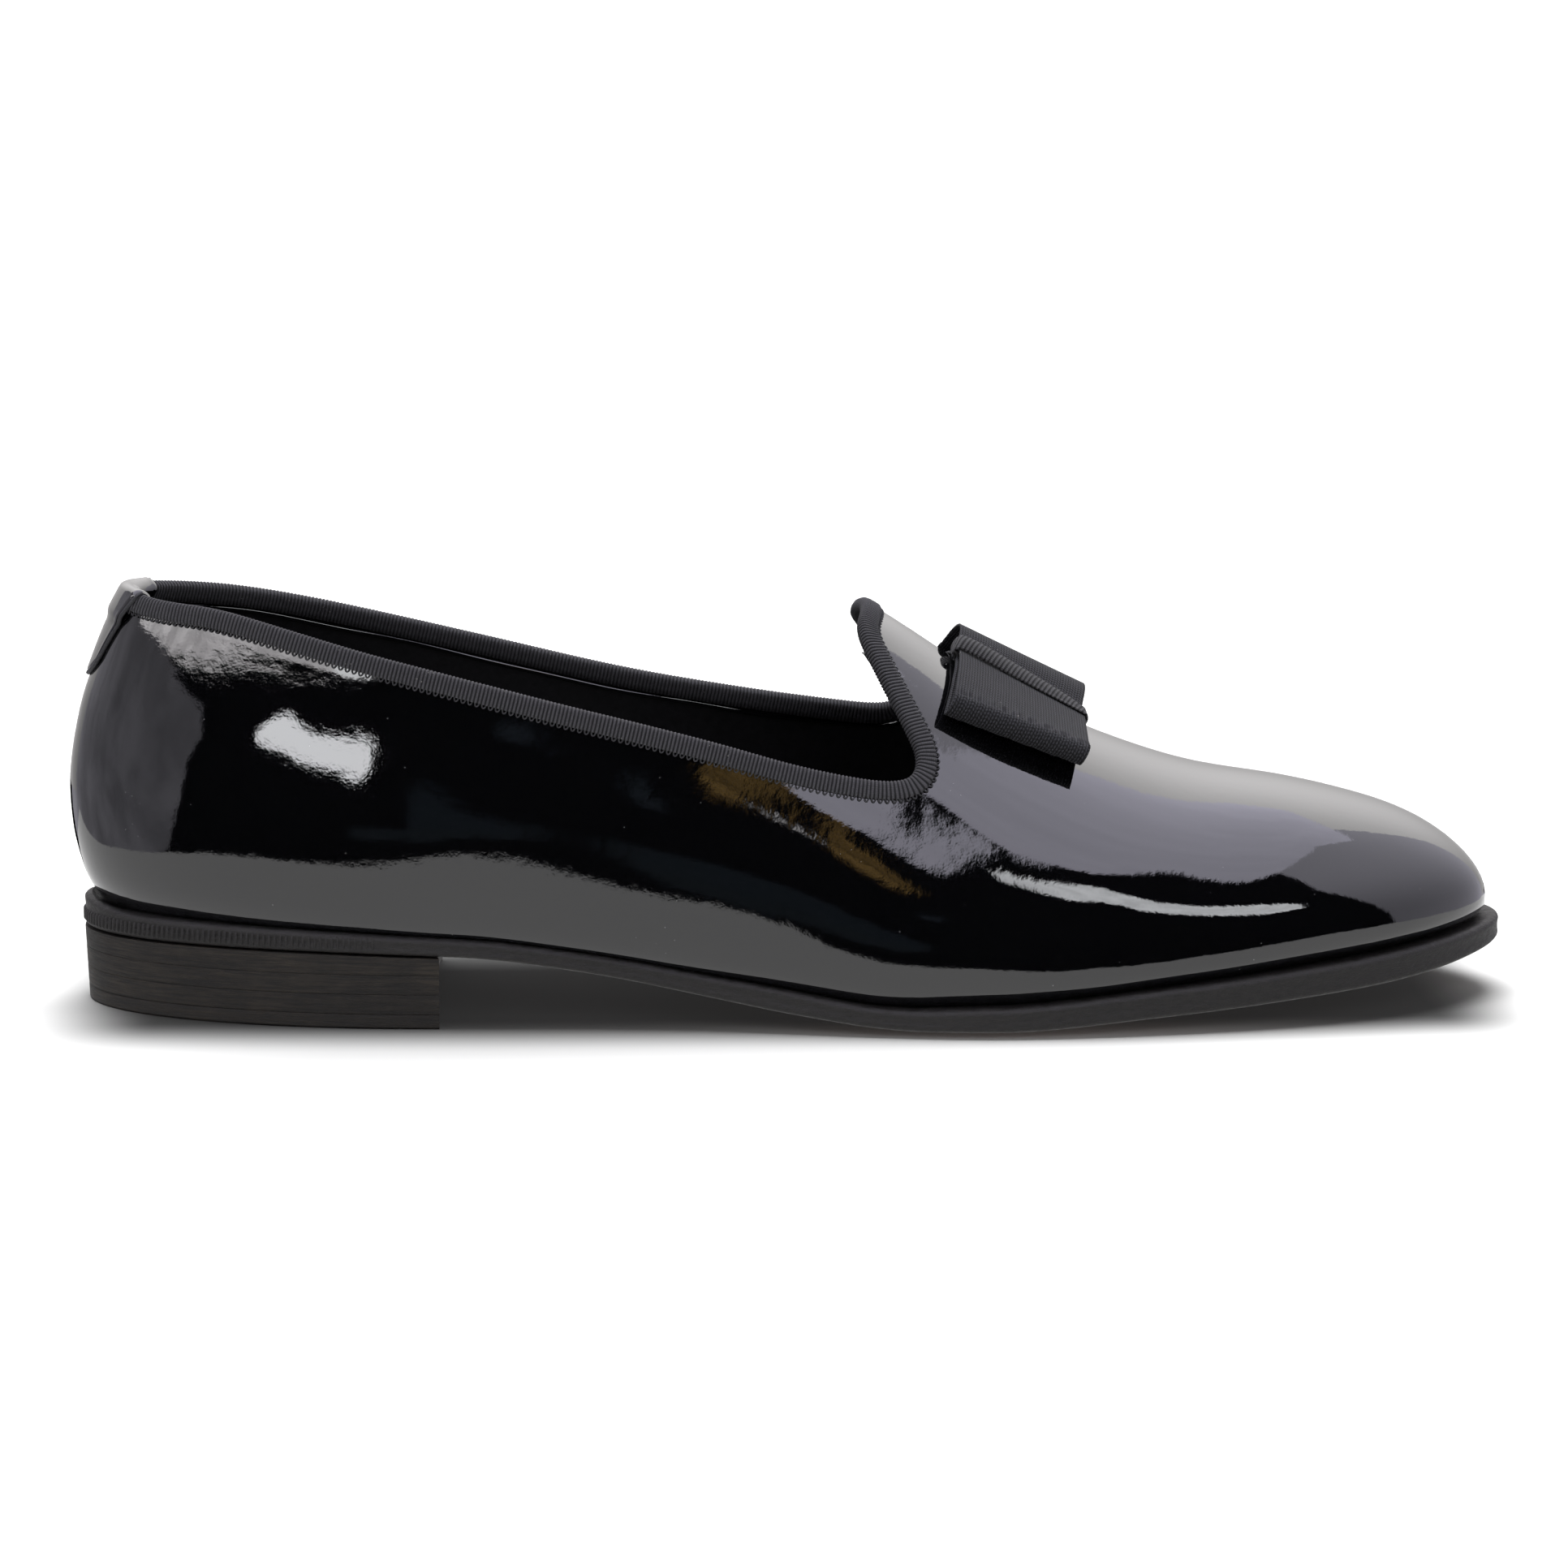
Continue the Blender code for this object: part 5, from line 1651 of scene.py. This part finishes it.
@dataclass(frozen=True)
class Bottom:
    """Outsole, stacked heel, wheel marks at the seat, and the sock inside."""

    columns: int = 260
    bevel: float = 0.0011
    seat_lip: float = 0.0016
    lip_length: float = 0.04
    tread_rise: float = 0.0013
    heel_taper: float = 0.0007
    breast_hollow: float = 0.0022
    top_piece: float = 0.0031
    lift: float = 0.0041
    lift_gap: float = 0.00006
    wheel_pitch: float = 0.00118
    wheel_rise: float = 0.0007
    wheel_height: float = 0.0029
    wheel_root: float = -0.0002
    sock_wall: float = 0.0022
    sock_rise: float = 0.0014
    stack_seam: float = 0.00007
    top_piece_seam: float = 0.00022
    layer_columns: int = 110

    def drawn_in(self, ring: Array, share: float) -> Array:
        """A plan ring drawn towards the middle line of the foot.

        Args:
            ring: the plan ring.
            share: how much of its width stays.

        Returns:
            The new ring.
        """
        x = LAST.spine(ring[:, 0])
        spine = np.stack([x, LAST.sole_centre(x)], -1)
        return spine + (ring - spine) * share

    @staticmethod
    def lifted(ring: Array, height: Array | float) -> Array:
        """A plan ring at its heights."""
        return np.concatenate([ring, np.broadcast_to(height, len(ring))[:, None]], axis=1)

    def tread_at(self, ring: Array) -> Array:
        """Height of the underside: flat in the middle, rising a little at the sides.

        Args:
            ring: a plan ring.

        Returns:
            A height for each of its points.
        """
        x = ring[:, 0]
        across = np.clip(np.abs(ring[:, 1] - LAST.sole_centre(x)) / LAST.sole_half(x), 0, 1)
        fore = smooth(np.clip((x - 0.46 * LAST.length) / (0.10 * LAST.length), 0, 1))
        toe = np.clip((1.0 - x / LAST.length) / 0.12, 0, 1)
        side = np.clip((across - 0.55) / 0.45, 0, 1) ** 2
        return LAST.tread(x) + self.tread_rise * fore * toe * side

    def capped(self, name: str, loops: list[Array]) -> bpy.types.Object:
        """A slab through rings, its two ends closed by strips from side to side.

        Args:
            name: the piece's name.
            loops: rings of points, from one end to the other.

        Returns:
            The new object, sharp where its faces meet at more than 50 degrees.
        """
        rings = np.array(loops)
        rows, columns = rings.shape[:2]
        faces = MeshShop.quads(rows, columns, Wrap.ROUND)
        half = columns // 2
        for base, turned in ((0, True), ((rows - 1) * columns, False)):
            for j in range(half):
                face = [base + j, base + j + 1, base + (columns - j - 1) % columns,
                        base + (columns - j) % columns]
                face = tuple(dict.fromkeys(face))
                faces.append(face[::-1] if turned else face)
        made = MeshShop.raw(name, rings.reshape(-1, 3), faces)
        made.data.set_sharp_from_angle(angle=math.radians(50))
        return made

    def build(self, edge: Material, tread: Material, stack: Material, rubber: Material,
              sock: Material) -> None:
        """Makes and dresses everything below the upper, and the sock.

        Args:
            edge: finish of the sole's edge.
            tread: finish of its underside.
            stack: finish of the heel's leather.
            rubber: finish of the top piece.
            sock: finish of the sock.
        """
        self.outsole(edge, tread)
        self.heel(stack, rubber)
        self.wheel_marks(edge)
        self.sock(sock)

    def edge_rings(self) -> tuple[list[Array], int]:
        """Rings of the outsole from the underside round the edge to the top.

        Returns:
            The rings, and how many of them lie on the underside.
        """
        edge = LAST.outline_ring(self.columns)
        base = self.tread_at(edge)
        lip = self.seat_lip * np.clip(1 - edge[:, 0] / (self.lip_length * LAST.length), 0, 1) ** 2
        top = LAST.tread(edge[:, 0]) + LAST.sole_edge(edge[:, 0]) + lip
        loops = []
        for share in (0.25, 0.5, 0.72, 0.88):
            ring = self.drawn_in(edge, share)
            loops.append(self.lifted(ring, self.tread_at(ring)))
        under = len(loops)
        for turn in np.linspace(0, math.pi / 2, 5):
            inset = self.bevel * (1 - math.sin(turn))
            loops.append(self.lifted(LAST.outline_ring(self.columns, inset),
                                     base + self.bevel * (1 - math.cos(turn))))
        for share in (0.25, 0.55, 0.8):
            ring = LAST.outline_ring(self.columns, 0.00016 * math.sin(share * math.pi))
            height = base + self.bevel + (top - base - 2 * self.bevel) * share
            loops.append(self.lifted(ring, height))
        for turn in np.linspace(0, math.pi / 2, 6):
            inset = 1.35 * self.bevel * (1 - math.cos(turn))
            loops.append(self.lifted(LAST.outline_ring(self.columns, inset),
                                     top - self.bevel * (1 - math.sin(turn))))
        inner = LAST.outline_ring(self.columns, 2.6 * self.bevel)
        flat = LAST.tread(inner[:, 0]) + LAST.sole_edge(inner[:, 0])
        loops.append(self.lifted(inner, flat))
        for share in (0.62, 0.30):
            ring = self.drawn_in(edge, share)
            loops.append(self.lifted(ring, LAST.tread(ring[:, 0]) + LAST.sole_edge(ring[:, 0])))
        return loops, under

    def outsole(self, edge_finish: Material, tread_finish: Material) -> None:
        """The outsole, its underside stained another colour than its edge.

        Args:
            edge_finish: finish of the edge and top.
            tread_finish: finish of the underside.
        """
        loops, under = self.edge_rings()
        made = self.capped("leather_outsole", loops)
        MeshShop.dressed(made, edge_finish, "sole_edge_black", ("outsole",))
        made.data.materials.append(tread_finish)
        first_edge = (under + 1) * len(loops[0])
        for polygon in made.data.polygons:
            if max(polygon.vertices) < first_edge and polygon.normal.z < -0.5:
                polygon.material_index = 1

    def heel_ring(self, columns: int, inset: float) -> Array:
        """Plan of the heel: the sole's outline up to the hollowed breast.

        Args:
            columns: how many on each side.
            inset: how far the outline is drawn in.

        Returns:
            Points of the closed ring.
        """
        side = 500
        full = LAST.outline_ring(side, inset)
        other = np.concatenate([full[:1], full[:side:-1], full[side:side + 1]])
        rings = []
        for line in (full[:side + 1], other):
            keep = line[line[:, 0] < LAST.heel_length]
            last = np.array([LAST.heel_length, np.interp(LAST.heel_length, line[:, 0], line[:, 1])])
            keep = np.vstack([keep, last])
            points = resampled(keep, np.linspace(0, 1, columns + 1))[0]
            middle = np.array([LAST.heel_length, LAST.sole_centre(LAST.heel_length)])
            shares = np.linspace(0, 1, 17)[1:]
            breast = last + (middle - last) * shares[:, None]
            breast[:, 0] -= self.breast_hollow * (1 - (1 - shares) ** 2)
            rings.append(np.vstack([points, breast]))
        return np.concatenate([rings[0], rings[1][-2:0:-1]])

    def layer(self, name: str, low: Level, high: Level, seam: float) -> bpy.types.Object:
        """One layer of the heel with softly rounded edges.

        Args:
            name: the piece's name.
            low: height of its underside, or a function of the place.
            high: height of its top, or a function of the place.
            seam: how far its edges are drawn in where layers meet.

        Returns:
            The new object.
        """
        columns = self.layer_columns
        plan = self.heel_ring(columns, 0)
        levels = [np.broadcast_to(h(plan[:, 0]) if callable(h) else h, len(plan))
                  for h in (low, high)]
        taper = [self.heel_taper * (1 - float(np.mean(h)) / LAST.heel_height) for h in levels]
        middle = np.array([0.5 * LAST.heel_length, LAST.sole_centre(0.5 * LAST.heel_length)])

        def ring(inset: float, height: Array) -> Array:
            """The plan at an inset and heights."""
            return self.lifted(self.heel_ring(columns, max(inset, 0.0)), height)

        loops = [self.lifted(middle + (plan - middle) * 0.5, levels[0]),
                 ring(taper[0] + seam, levels[0])]
        for share in (0.03, 0.10, 0.35, 0.65, 0.90, 0.97):
            height = levels[0] + (levels[1] - levels[0]) * share
            edge = min(share, 1 - share)
            pinch = seam * max(0.0, 1 - edge / 0.09) ** 2
            loops.append(ring(taper[0] + (taper[1] - taper[0]) * share + pinch, height))
        loops.append(ring(taper[1] + seam, levels[1]))
        loops.append(self.lifted(middle + (plan - middle) * 0.5, levels[1]))
        if callable(high):
            loops[-1][:, 2] = high(loops[-1][:, 0])
        return self.capped(name, loops)

    def heel(self, stack: Material, rubber: Material) -> None:
        """Top piece and three leather layers.

        Args:
            stack: finish of the leather layers.
            rubber: finish of the top piece.
        """
        def level(n: int) -> float:
            """Top of the nth layer above the top piece."""
            return self.top_piece + n * self.lift

        made = self.layer("rubber_top_piece", 0.0, self.top_piece, self.top_piece_seam)
        MeshShop.dressed(made, rubber, "top_piece_black", ("top_piece",))
        rows = (("stack_lower", level(0) + self.lift_gap, level(1), "heel_lift_lower"),
                ("stack_middle", level(1) + self.lift_gap, level(2), "heel_lift_middle"),
                ("stack_upper", level(2) + self.lift_gap,
                 lambda x: LAST.tread(x) - LAST.gap, "heel_lift_upper"))
        for name, low, high, node in rows:
            made = self.layer(name, low, high, self.stack_seam)
            MeshShop.dressed(made, stack, "stacked_heel_black", (node,))

    def wheel_marks(self, finish: Material) -> None:
        """The row of pressed ticks round the back of the seat's edge.

        Args:
            finish: the sole edge's finish.
        """
        side = 900
        ring = LAST.outline_ring(side)
        outer, inner = ring[:side + 1], np.concatenate([ring[:1], ring[:side:-1]])
        reach = 0.205 * LAST.length
        line = np.concatenate([outer[outer[:, 0] < reach][::-1], inner[1:][inner[1:, 0] < reach]])
        count = int(arc(line)[-1] / self.wheel_pitch)
        spots = resampled(line, (np.arange(count) + 0.5) / count)[0]
        run = unit(np.gradient(spots, axis=0))
        out = np.stack([run[:, 1], -run[:, 0]], -1)
        middle = np.array([0.3 * LAST.heel_length, 0.0])
        out *= np.sign(np.sum(out * (spots - middle), axis=1, keepdims=True))
        points, faces = [], []
        for k, (spot, along, away) in enumerate(zip(spots, run, out)):
            fade = np.clip((reach - spot[0]) / (0.10 * LAST.length), 0.0, 1.0)
            proud = 0.00006 + 0.00026 * fade
            base = float(LAST.tread(spot[0])) + self.wheel_rise
            root = self.wheel_root
            for rise, push in ((0.0, root), (0.16, proud), (0.84, proud), (1.0, root)):
                for half in (-1.0, -0.45, 0.45, 1.0):
                    inward = push if abs(half) < 0.9 else root
                    flat = spot + along * half * 0.31 * self.wheel_pitch + away * inward
                    points.append((*flat, base + rise * self.wheel_height))
            faces += MeshShop.quads(4, 4, Wrap.OPEN, k * 16)
        made = MeshShop.raw("seat_wheel_marks", np.array(points), faces)
        MeshShop.dressed(made, finish, "sole_edge_black")

    def sock(self, finish: Material) -> None:
        """The padded sock that covers the insole.

        Args:
            finish: the sock's finish.
        """
        low = LAST.feather_line(-1)[::8], LAST.feather_line(1)[::8]
        ring = np.concatenate([low[0], low[1][-2:0:-1]])
        x = LAST.spine(ring[:, 0])
        spine = np.stack([x, LAST.centre_line(x)], -1)
        away = ring[:, :2] - spine
        distance = np.linalg.norm(away, axis=1, keepdims=True)
        edge = spine + away * (1 - (LAST.wall + self.sock_wall) / distance)
        base, wall = self.sock_rise + 2 * LAST.gap, self.sock_wall
        loops = []
        for share, rise in ((0.45, 0.0), (0.8, 0.0), (1.0, 0.0), (1.0, 0.62), (0.992, 0.88),
                            (0.97, 1.0), (0.9, 1.02), (0.72, 1.0), (0.45, 1.0)):
            plan = spine + (edge - spine) * share
            loops.append(self.lifted(plan, LAST.feather(plan[:, 0]) + base + wall * rise))
        made = self.capped("sock_leather", loops)
        MeshShop.dressed(made, finish, "sock_leather_black", ("insole",))


@dataclass(frozen=True)
class Card:
    """A bright card that only mirrors see, set out by bearing and height from the shoe.

    Bearing 0 faces the camera's side, 90 the toe, -90 the heel, in degrees.
    """

    name: str
    anchor: tuple[float, float, float]
    lower: tuple[tuple[float, float], ...]
    upper: tuple[tuple[float, float], ...]
    colour: Colour
    strength: float
    far: float = 1.5
    uneven: float = 0.0
    cloud: float = 5.0
    fade: float = 1.0


class Studio:
    """Floor, lights, cards and camera."""

    CARDS = (
        Card("card_overhead", (0.200, -0.036, 0.040),
             ((-180, 51), (-150, 47), (-110, 38), (-70, 32), (-40, 28), (-14, 25), (-2, 24),
              (4, 25), (6, 27), (9, 30), (13, 35), (18, 40), (22, 43), (27, 47), (36, 47.5),
              (45, 49), (57, 53), (74, 57), (99, 57), (115, 50), (133, 50), (149, 47),
              (165, 50), (180, 52)),
             (), (0.87, 0.85, 1.0), 2.25, uneven=0.06),
        Card("card_back", (0.220, -0.020, 0.050),
             ((138, -9), (150, -9), (165, -9), (180, -9), (205, -9), (235, -9)),
             ((128, 51), (149, 48.5), (165, 51), (180, 53), (205, 50), (235, 44)),
             (1.0, 0.98, 0.98), 2.1, fade=0.24),
        Card("card_front_right", (0.215, -0.041, 0.028),
             ((15, 31), (19, 31), (24, 32.5), (29, 31.5), (34, 27), (40, 20), (47, 19)),
             ((15, 34.5), (19, 37.5), (24, 40), (29, 40.5), (34, 37.5), (40, 31), (47, 23)),
             (0.95, 0.97, 1.0), 4.8, uneven=0.2, cloud=20.0),
        Card("card_window", (0.049, -0.030, 0.058),
             ((-32.4, 7.3), (-30, 6.2), (-27, 5.3), (-24, 4.2), (-21, 3.5), (-17, 2.6),
              (-14.5, 1.5), (-13.2, 3.0)),
             ((-32.4, 8.3), (-30, 9.8), (-27, 10.1), (-24, 8.1), (-21, 6.7), (-17, 5.9),
              (-14.5, 5.6), (-13.2, 4.4)),
             (0.96, 0.97, 1.0), 7.0),
        Card("card_pale_strip", (0.040, -0.024, 0.078),
             ((-92, 19.6), (-72, 18.8), (-56, 16.8), (-42, 15.2), (-33, 14.2), (-25, 13.5),
              (-18, 12.4), (-13.6, 13.2)),
             ((-92, 27), (-72, 27), (-56, 27), (-42, 27), (-33, 27), (-25, 25),
              (-18, 22), (-13.6, 19)),
             (1.0, 0.97, 0.99), 3.9, uneven=0.35, cloud=14.0),
        Card("card_strip_end", (0.060, -0.030, 0.072),
             ((-21, 13.6), (-18, 12.4), (-15, 13.2)),
             ((-20, 17.0), (-17, 18.0), (-14, 16.0)),
             (0.97, 0.98, 1.0), 6.0),
        Card("card_thin_strip", (0.110, -0.034, 0.060),
             ((-13.6, 16.2), (-8, 15.0), (-2, 14.5)),
             ((-13.6, 19.0), (-8, 18.0), (-2, 17.0)),
             (1.0, 0.98, 1.0), 2.8, uneven=0.5, cloud=14.0),
        Card("card_heel_side", (0.015, -0.020, 0.055),
             ((-150, -40), (-120, -36), (-95, -26), (-75, -22), (-56, -15), (-50, -5),
              (-47, 4), (-43, 8.5)),
             ((-150, 40), (-120, 34), (-97, 27), (-88, 25), (-79, 22.5), (-61, 18),
              (-51, 15.5), (-43, 13)),
             (0.92, 0.90, 1.0), 0.52, uneven=0.30, cloud=2.5),
        Card("card_gold", (0.150, -0.037, 0.045),
             ((-3, 12), (-3, 14), (-2, 17), (-1, 19), (2, 21), (5, 26)),
             ((1, 16), (1, 19), (1.5, 21), (2, 24), (4, 26.5), (7, 30)),
             (1.0, 0.62, 0.20), 0.62, uneven=0.9, cloud=26.0),
        Card("card_low_streak", (0.100, -0.036, 0.040),
             ((-18, -6), (-12, -6.6), (-6, -6.8), (-2, -5.6), (-1, -3.6)),
             ((-18, -4), (-12, -4.0), (-6, -4.0), (-2, -2.8), (-1, -1.2)),
             (0.62, 0.85, 1.0), 0.055),
        Card("card_low_streak_fore", (0.150, -0.036, 0.034),
             ((-12, -3.6), (-10, -4), (-7, -4.4), (-4, -4.6)),
             ((-12, 1.6), (-10, 1.0), (-7, -0.6), (-4, -2.0)),
             (0.55, 0.78, 1.0), 0.060),
        Card("card_small_streak", (0.094, -0.033, 0.060),
             ((0, 5.8), (1.2, 6.0), (2.4, 6.6), (3.2, 8.4)),
             ((0, 6.4), (1.2, 7.4), (2.4, 8.2), (3.2, 9.2)),
             (0.6, 0.8, 1.0), 0.10),
        Card("card_toe_side", (0.270, -0.020, 0.035),
             ((52, 34), (56, 24), (62, 8), (68, -12), (80, -40), (95, -50), (120, -50),
              (150, -40)),
             ((52, 55), (56, 57), (62, 59), (68, 60), (80, 62), (95, 62), (120, 55),
              (150, 52)),
             (0.90, 0.88, 1.0), 1.30, fade=0.48),
        Card("card_inner_side", (0.150, 0.040, 0.040),
             ((150, 2), (170, 3), (190, 3), (210, 2), (225, 0)),
             ((150, 18), (170, 16), (190, 16), (210, 18), (225, 20)),
             (0.95, 0.96, 1.0), 0.9),
    )
    # outline of the glowing sheet that paints the floor's reflection in the patent leather
    FLOOR_REFLECTION_GLOW_OUTLINE = (
        (-0.300, 0.100), (-0.245, 0.000), (-0.236, -0.088), (-0.225, -0.146),
        (-0.208, -0.184), (-0.172, -0.204), (-0.138, -0.216), (-0.105, -0.238),
        (-0.080, -0.250), (-0.062, -0.250), (-0.050, -0.238), (-0.035, -0.192),
        (-0.020, -0.148), (0.000, -0.127), (0.019, -0.125), (0.043, -0.119),
        (0.059, -0.109), (0.081, -0.111), (0.103, -0.105), (0.125, -0.112),
        (0.160, -0.112), (0.200, -0.105), (0.240, -0.080), (0.260, 0.000), (0.240, 0.100),
    )

    LAMPS = (
        ("lamp_overhead", (0.0, 0.55, 1.9), (0.0, 0.05, 0.0), 1.6, 66.0),
        ("lamp_front", (0.45, -1.5, 0.9), (0.02, 0.0, 0.04), 0.8, 5.0),
    )
    FLOOR_HALF = (1.6, 1.3)
    MIRROR_LIFT = 0.0004
    ROUND_LIGHT, WHITE_BEHIND = 0.15, 1.15
    CARD_ROWS, CARD_STEPS = 13, 8
    TURNS = (-3.93474, 10.20017, 0.549837)
    TARGET = (0.1462379, 0.0, 0.04442635)
    DISTANCE = 0.916609
    LENS, SENSOR = 100.0, 36.0

    def __init__(self) -> None:
        """Keeps the scene that it fills."""
        self.scene = bpy.context.scene

    def build(self) -> None:
        """Sets up the whole studio."""
        self.floor()
        self.backdrop()
        for card in self.CARDS:
            self.card(card)
        for lamp in self.LAMPS:
            self.lamp(*lamp)
        self.camera()

    def plain(self, name: str, corners: Rows, finish: Material) -> bpy.types.Object:
        """One flat stage face.

        Args:
            name: its name.
            corners: its corners in order.
            finish: its material.

        Returns:
            The new object.
        """
        mesh = bpy.data.meshes.new(name)
        mesh.from_pydata(corners, [], [tuple(range(len(corners)))])
        mesh.materials.append(finish)
        made = bpy.data.objects.new(name, mesh)
        self.scene.collection.objects.link(made)
        return made

    def floor(self) -> None:
        """A pale floor with a painted shadow, and a glowing sheet that paints its reflection in the
        patent.
        """
        wide, deep = self.FLOOR_HALF
        corners = ((-wide, -deep, 0.0), (wide, -deep, 0.0), (wide, deep, 0.0), (-wide, deep, 0.0))
        ground = self.plain("floor", corners, PaleFloor().material("pale_floor_painted_shadow"))
        ground.visible_glossy = False
        corners = tuple((x, y, self.MIRROR_LIFT) for x, y in self.FLOOR_REFLECTION_GLOW_OUTLINE)
        # painted reflection: a glowing sheet, seen only in mirrors, stands in for the lit floor
        glow = FloorGlow().material("painted_floor_reflection")
        self.mirrors_only(self.plain("floor_reflection_glow", corners, glow))

    @staticmethod
    def mirrors_only(made: bpy.types.Object) -> None:
        """Hides a stage piece from everything but mirror rays."""
        made.visible_camera = made.visible_diffuse = False
        made.visible_shadow = made.visible_transmission = False

    def backdrop(self) -> None:
        """White behind the shoe, a dim white fill round it, nothing in mirrors."""
        world = bpy.data.worlds.new("pale_surround")
        self.scene.world = world
        world.use_nodes = True
        kit = Nodes(world.node_tree)
        rays = kit.add("ShaderNodeLightPath").outputs["Is Camera Ray"]
        power = kit.spread(rays, 0.0, 1.0, self.ROUND_LIGHT, self.WHITE_BEHIND)
        kit.feed(world.node_tree.nodes["Background"], {"Color": (1.0, 1.0, 1.0, 1),
                                                       "Strength": power})
        world.cycles_visibility.glossy = False

    def card(self, card: Card) -> None:
        """Builds one card on a sphere round its anchor.

        Args:
            card: what to build.
        """
        share = np.linspace(0, 1, self.CARD_STEPS * (len(card.lower) - 1) + 1)
        places = np.linspace(0, 1, len(card.lower))
        upper = card.upper or tuple((bearing, 89.9) for bearing, _ in card.lower)
        low, high = (np.stack([np.interp(share, places, column) for column in zip(*line)], -1)
                     for line in (card.lower, upper))
        mix = np.linspace(0, 1, self.CARD_ROWS)[:, None, None]
        polar = np.radians(low[None] * (1 - mix) + high[None] * mix)
        bearing, height = polar[..., 0], polar[..., 1]
        way = np.stack([np.sin(bearing) * np.cos(height), -np.cos(bearing) * np.cos(height),
                        np.sin(height)], -1)
        made = MeshShop.grid(card.name, np.array(card.anchor) + card.far * way, Wrap.OPEN)
        finish = bpy.data.materials.new(card.name)
        finish.use_nodes = True
        finish.node_tree.nodes.clear()
        kit = Nodes(finish.node_tree)
        place = kit.where()
        cloud = kit.spread(kit.noise(place, card.cloud, 3.0, 0.6), 0.30, 0.70, 1.0 - card.uneven,
                           1.0 + 0.4 * card.uneven)
        level = kit.spread(kit.parts(place)["Z"], 0.0, 0.8 * card.far, card.fade, 1.0)
        power = kit.times(kit.times(cloud, level), card.strength)
        glow = kit.add("ShaderNodeEmission", {"Color": tinted(card.colour), "Strength": power})
        kit.add("ShaderNodeOutputMaterial", {0: glow.outputs[0]})
        made.data.materials.append(finish)
        self.mirrors_only(made)

    @staticmethod
    def stand(made: bpy.types.Object, axes: tuple[Array, Array, Array, Array]) -> None:
        """Turns and moves an object by its three axes and its place."""
        ends = (0.0, 0.0, 0.0, 1.0)
        made.matrix_world = Matrix([(*axis, end) for axis, end in zip(axes, ends)]).transposed()

    def lamp(self, name: str, place: tuple[float, ...], aim: tuple[float, ...], size: float,
             power: float) -> None:
        """One soft square lamp that mirrors don't see.

        Args:
            name: its name.
            place: where it stands.
            aim: what it points at.
            size: its side.
            power: its watts.
        """
        data = bpy.data.lights.new(name, "AREA")
        data.shape = "SQUARE"
        data.size, data.energy = size, power
        made = bpy.data.objects.new(name, data)
        self.scene.collection.objects.link(made)
        back = -unit(np.array(aim) - np.array(place))
        right = unit(np.cross([0.0, 1.0, 0.001], back))
        self.stand(made, (right, np.cross(back, right), back, np.array(place)))
        made.visible_glossy = False

    def camera(self) -> None:
        """The photograph's view: a long lens, a little above the shoe's outer side."""
        data = bpy.data.cameras.new("camera")
        data.lens, data.sensor_width = self.LENS, self.SENSOR
        data.clip_start, data.clip_end = 0.05, 60.0
        made = bpy.data.objects.new("camera", data)
        self.scene.collection.objects.link(made)
        yaw, pitch, roll = (math.radians(v) for v in self.TURNS)
        back = np.array([math.sin(yaw) * math.cos(pitch), -math.cos(yaw) * math.cos(pitch),
                         math.sin(pitch)])
        target = LAST.place(np.array([self.TARGET]))[0]
        right = unit(np.cross(-back, [0.0, 0.0, 1.0]))
        up = np.cross(right, -back)
        self.stand(made, (right * math.cos(roll) + up * math.sin(roll),
                          up * math.cos(roll) - right * math.sin(roll), back,
                          target + back * self.DISTANCE))
        self.scene.camera = made
        self.scene.view_settings.view_transform = "Standard"


def main() -> None:
    """Builds the shoe's looks, then the studio."""
    logging.basicConfig(level=logging.INFO, format="%(name)s: %(message)s")
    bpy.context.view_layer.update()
    patent = PatentLeather().material("patent_leather")
    lining = Leather().material("upper_lining_leather")
    sock = Leather(colour=(0.0022, 0.0022, 0.0024)).material("sock_leather")
    binding = Grosgrain(colour=(0.050, 0.049, 0.055), pitch=0.00078, weave=0.00030,
                        depth=0.00006).material("edge_grosgrain")
    ribbon = Grosgrain(colour=(0.024, 0.024, 0.028), pitch=0.00062, uneven=0.35, weave=0.00080,
                       thread=0.34, zigzag=1.6, depth=0.00016).material("bow_ribbon_weave")
    band = Grosgrain(colour=(0.056, 0.055, 0.059), pitch=0.00095, slant=0.25, uneven=0.15,
                     weave=0.00030, depth=0.00022).material("bow_band_weave")
    edge = Leather(colour=(0.0098, 0.0090, 0.0086), roughness=0.36, coarse=900.0, fine=3200.0,
                   relief=0.00020, pale=1.9, tone_range=(0.6, 1.2), specular=0.32, duller=0.22,
                   stretch=(0.45, 0.7, 1.6)).material("sole_edge")
    stack = StackedLeather().material("stacked_heel")
    rubber = StackedLeather(colour=(0.012, 0.011, 0.010)).material("top_piece_layer")
    Upper().build(patent, lining, binding, Thread().material("stitch_thread"))
    Bow().build(ribbon, band)
    Bottom().build(edge, TreadLeather().material("sole_tread"), stack, rubber, sock)
    Studio().build()
    LOG.info("sizes written")


if __name__ == "__main__":
    main()
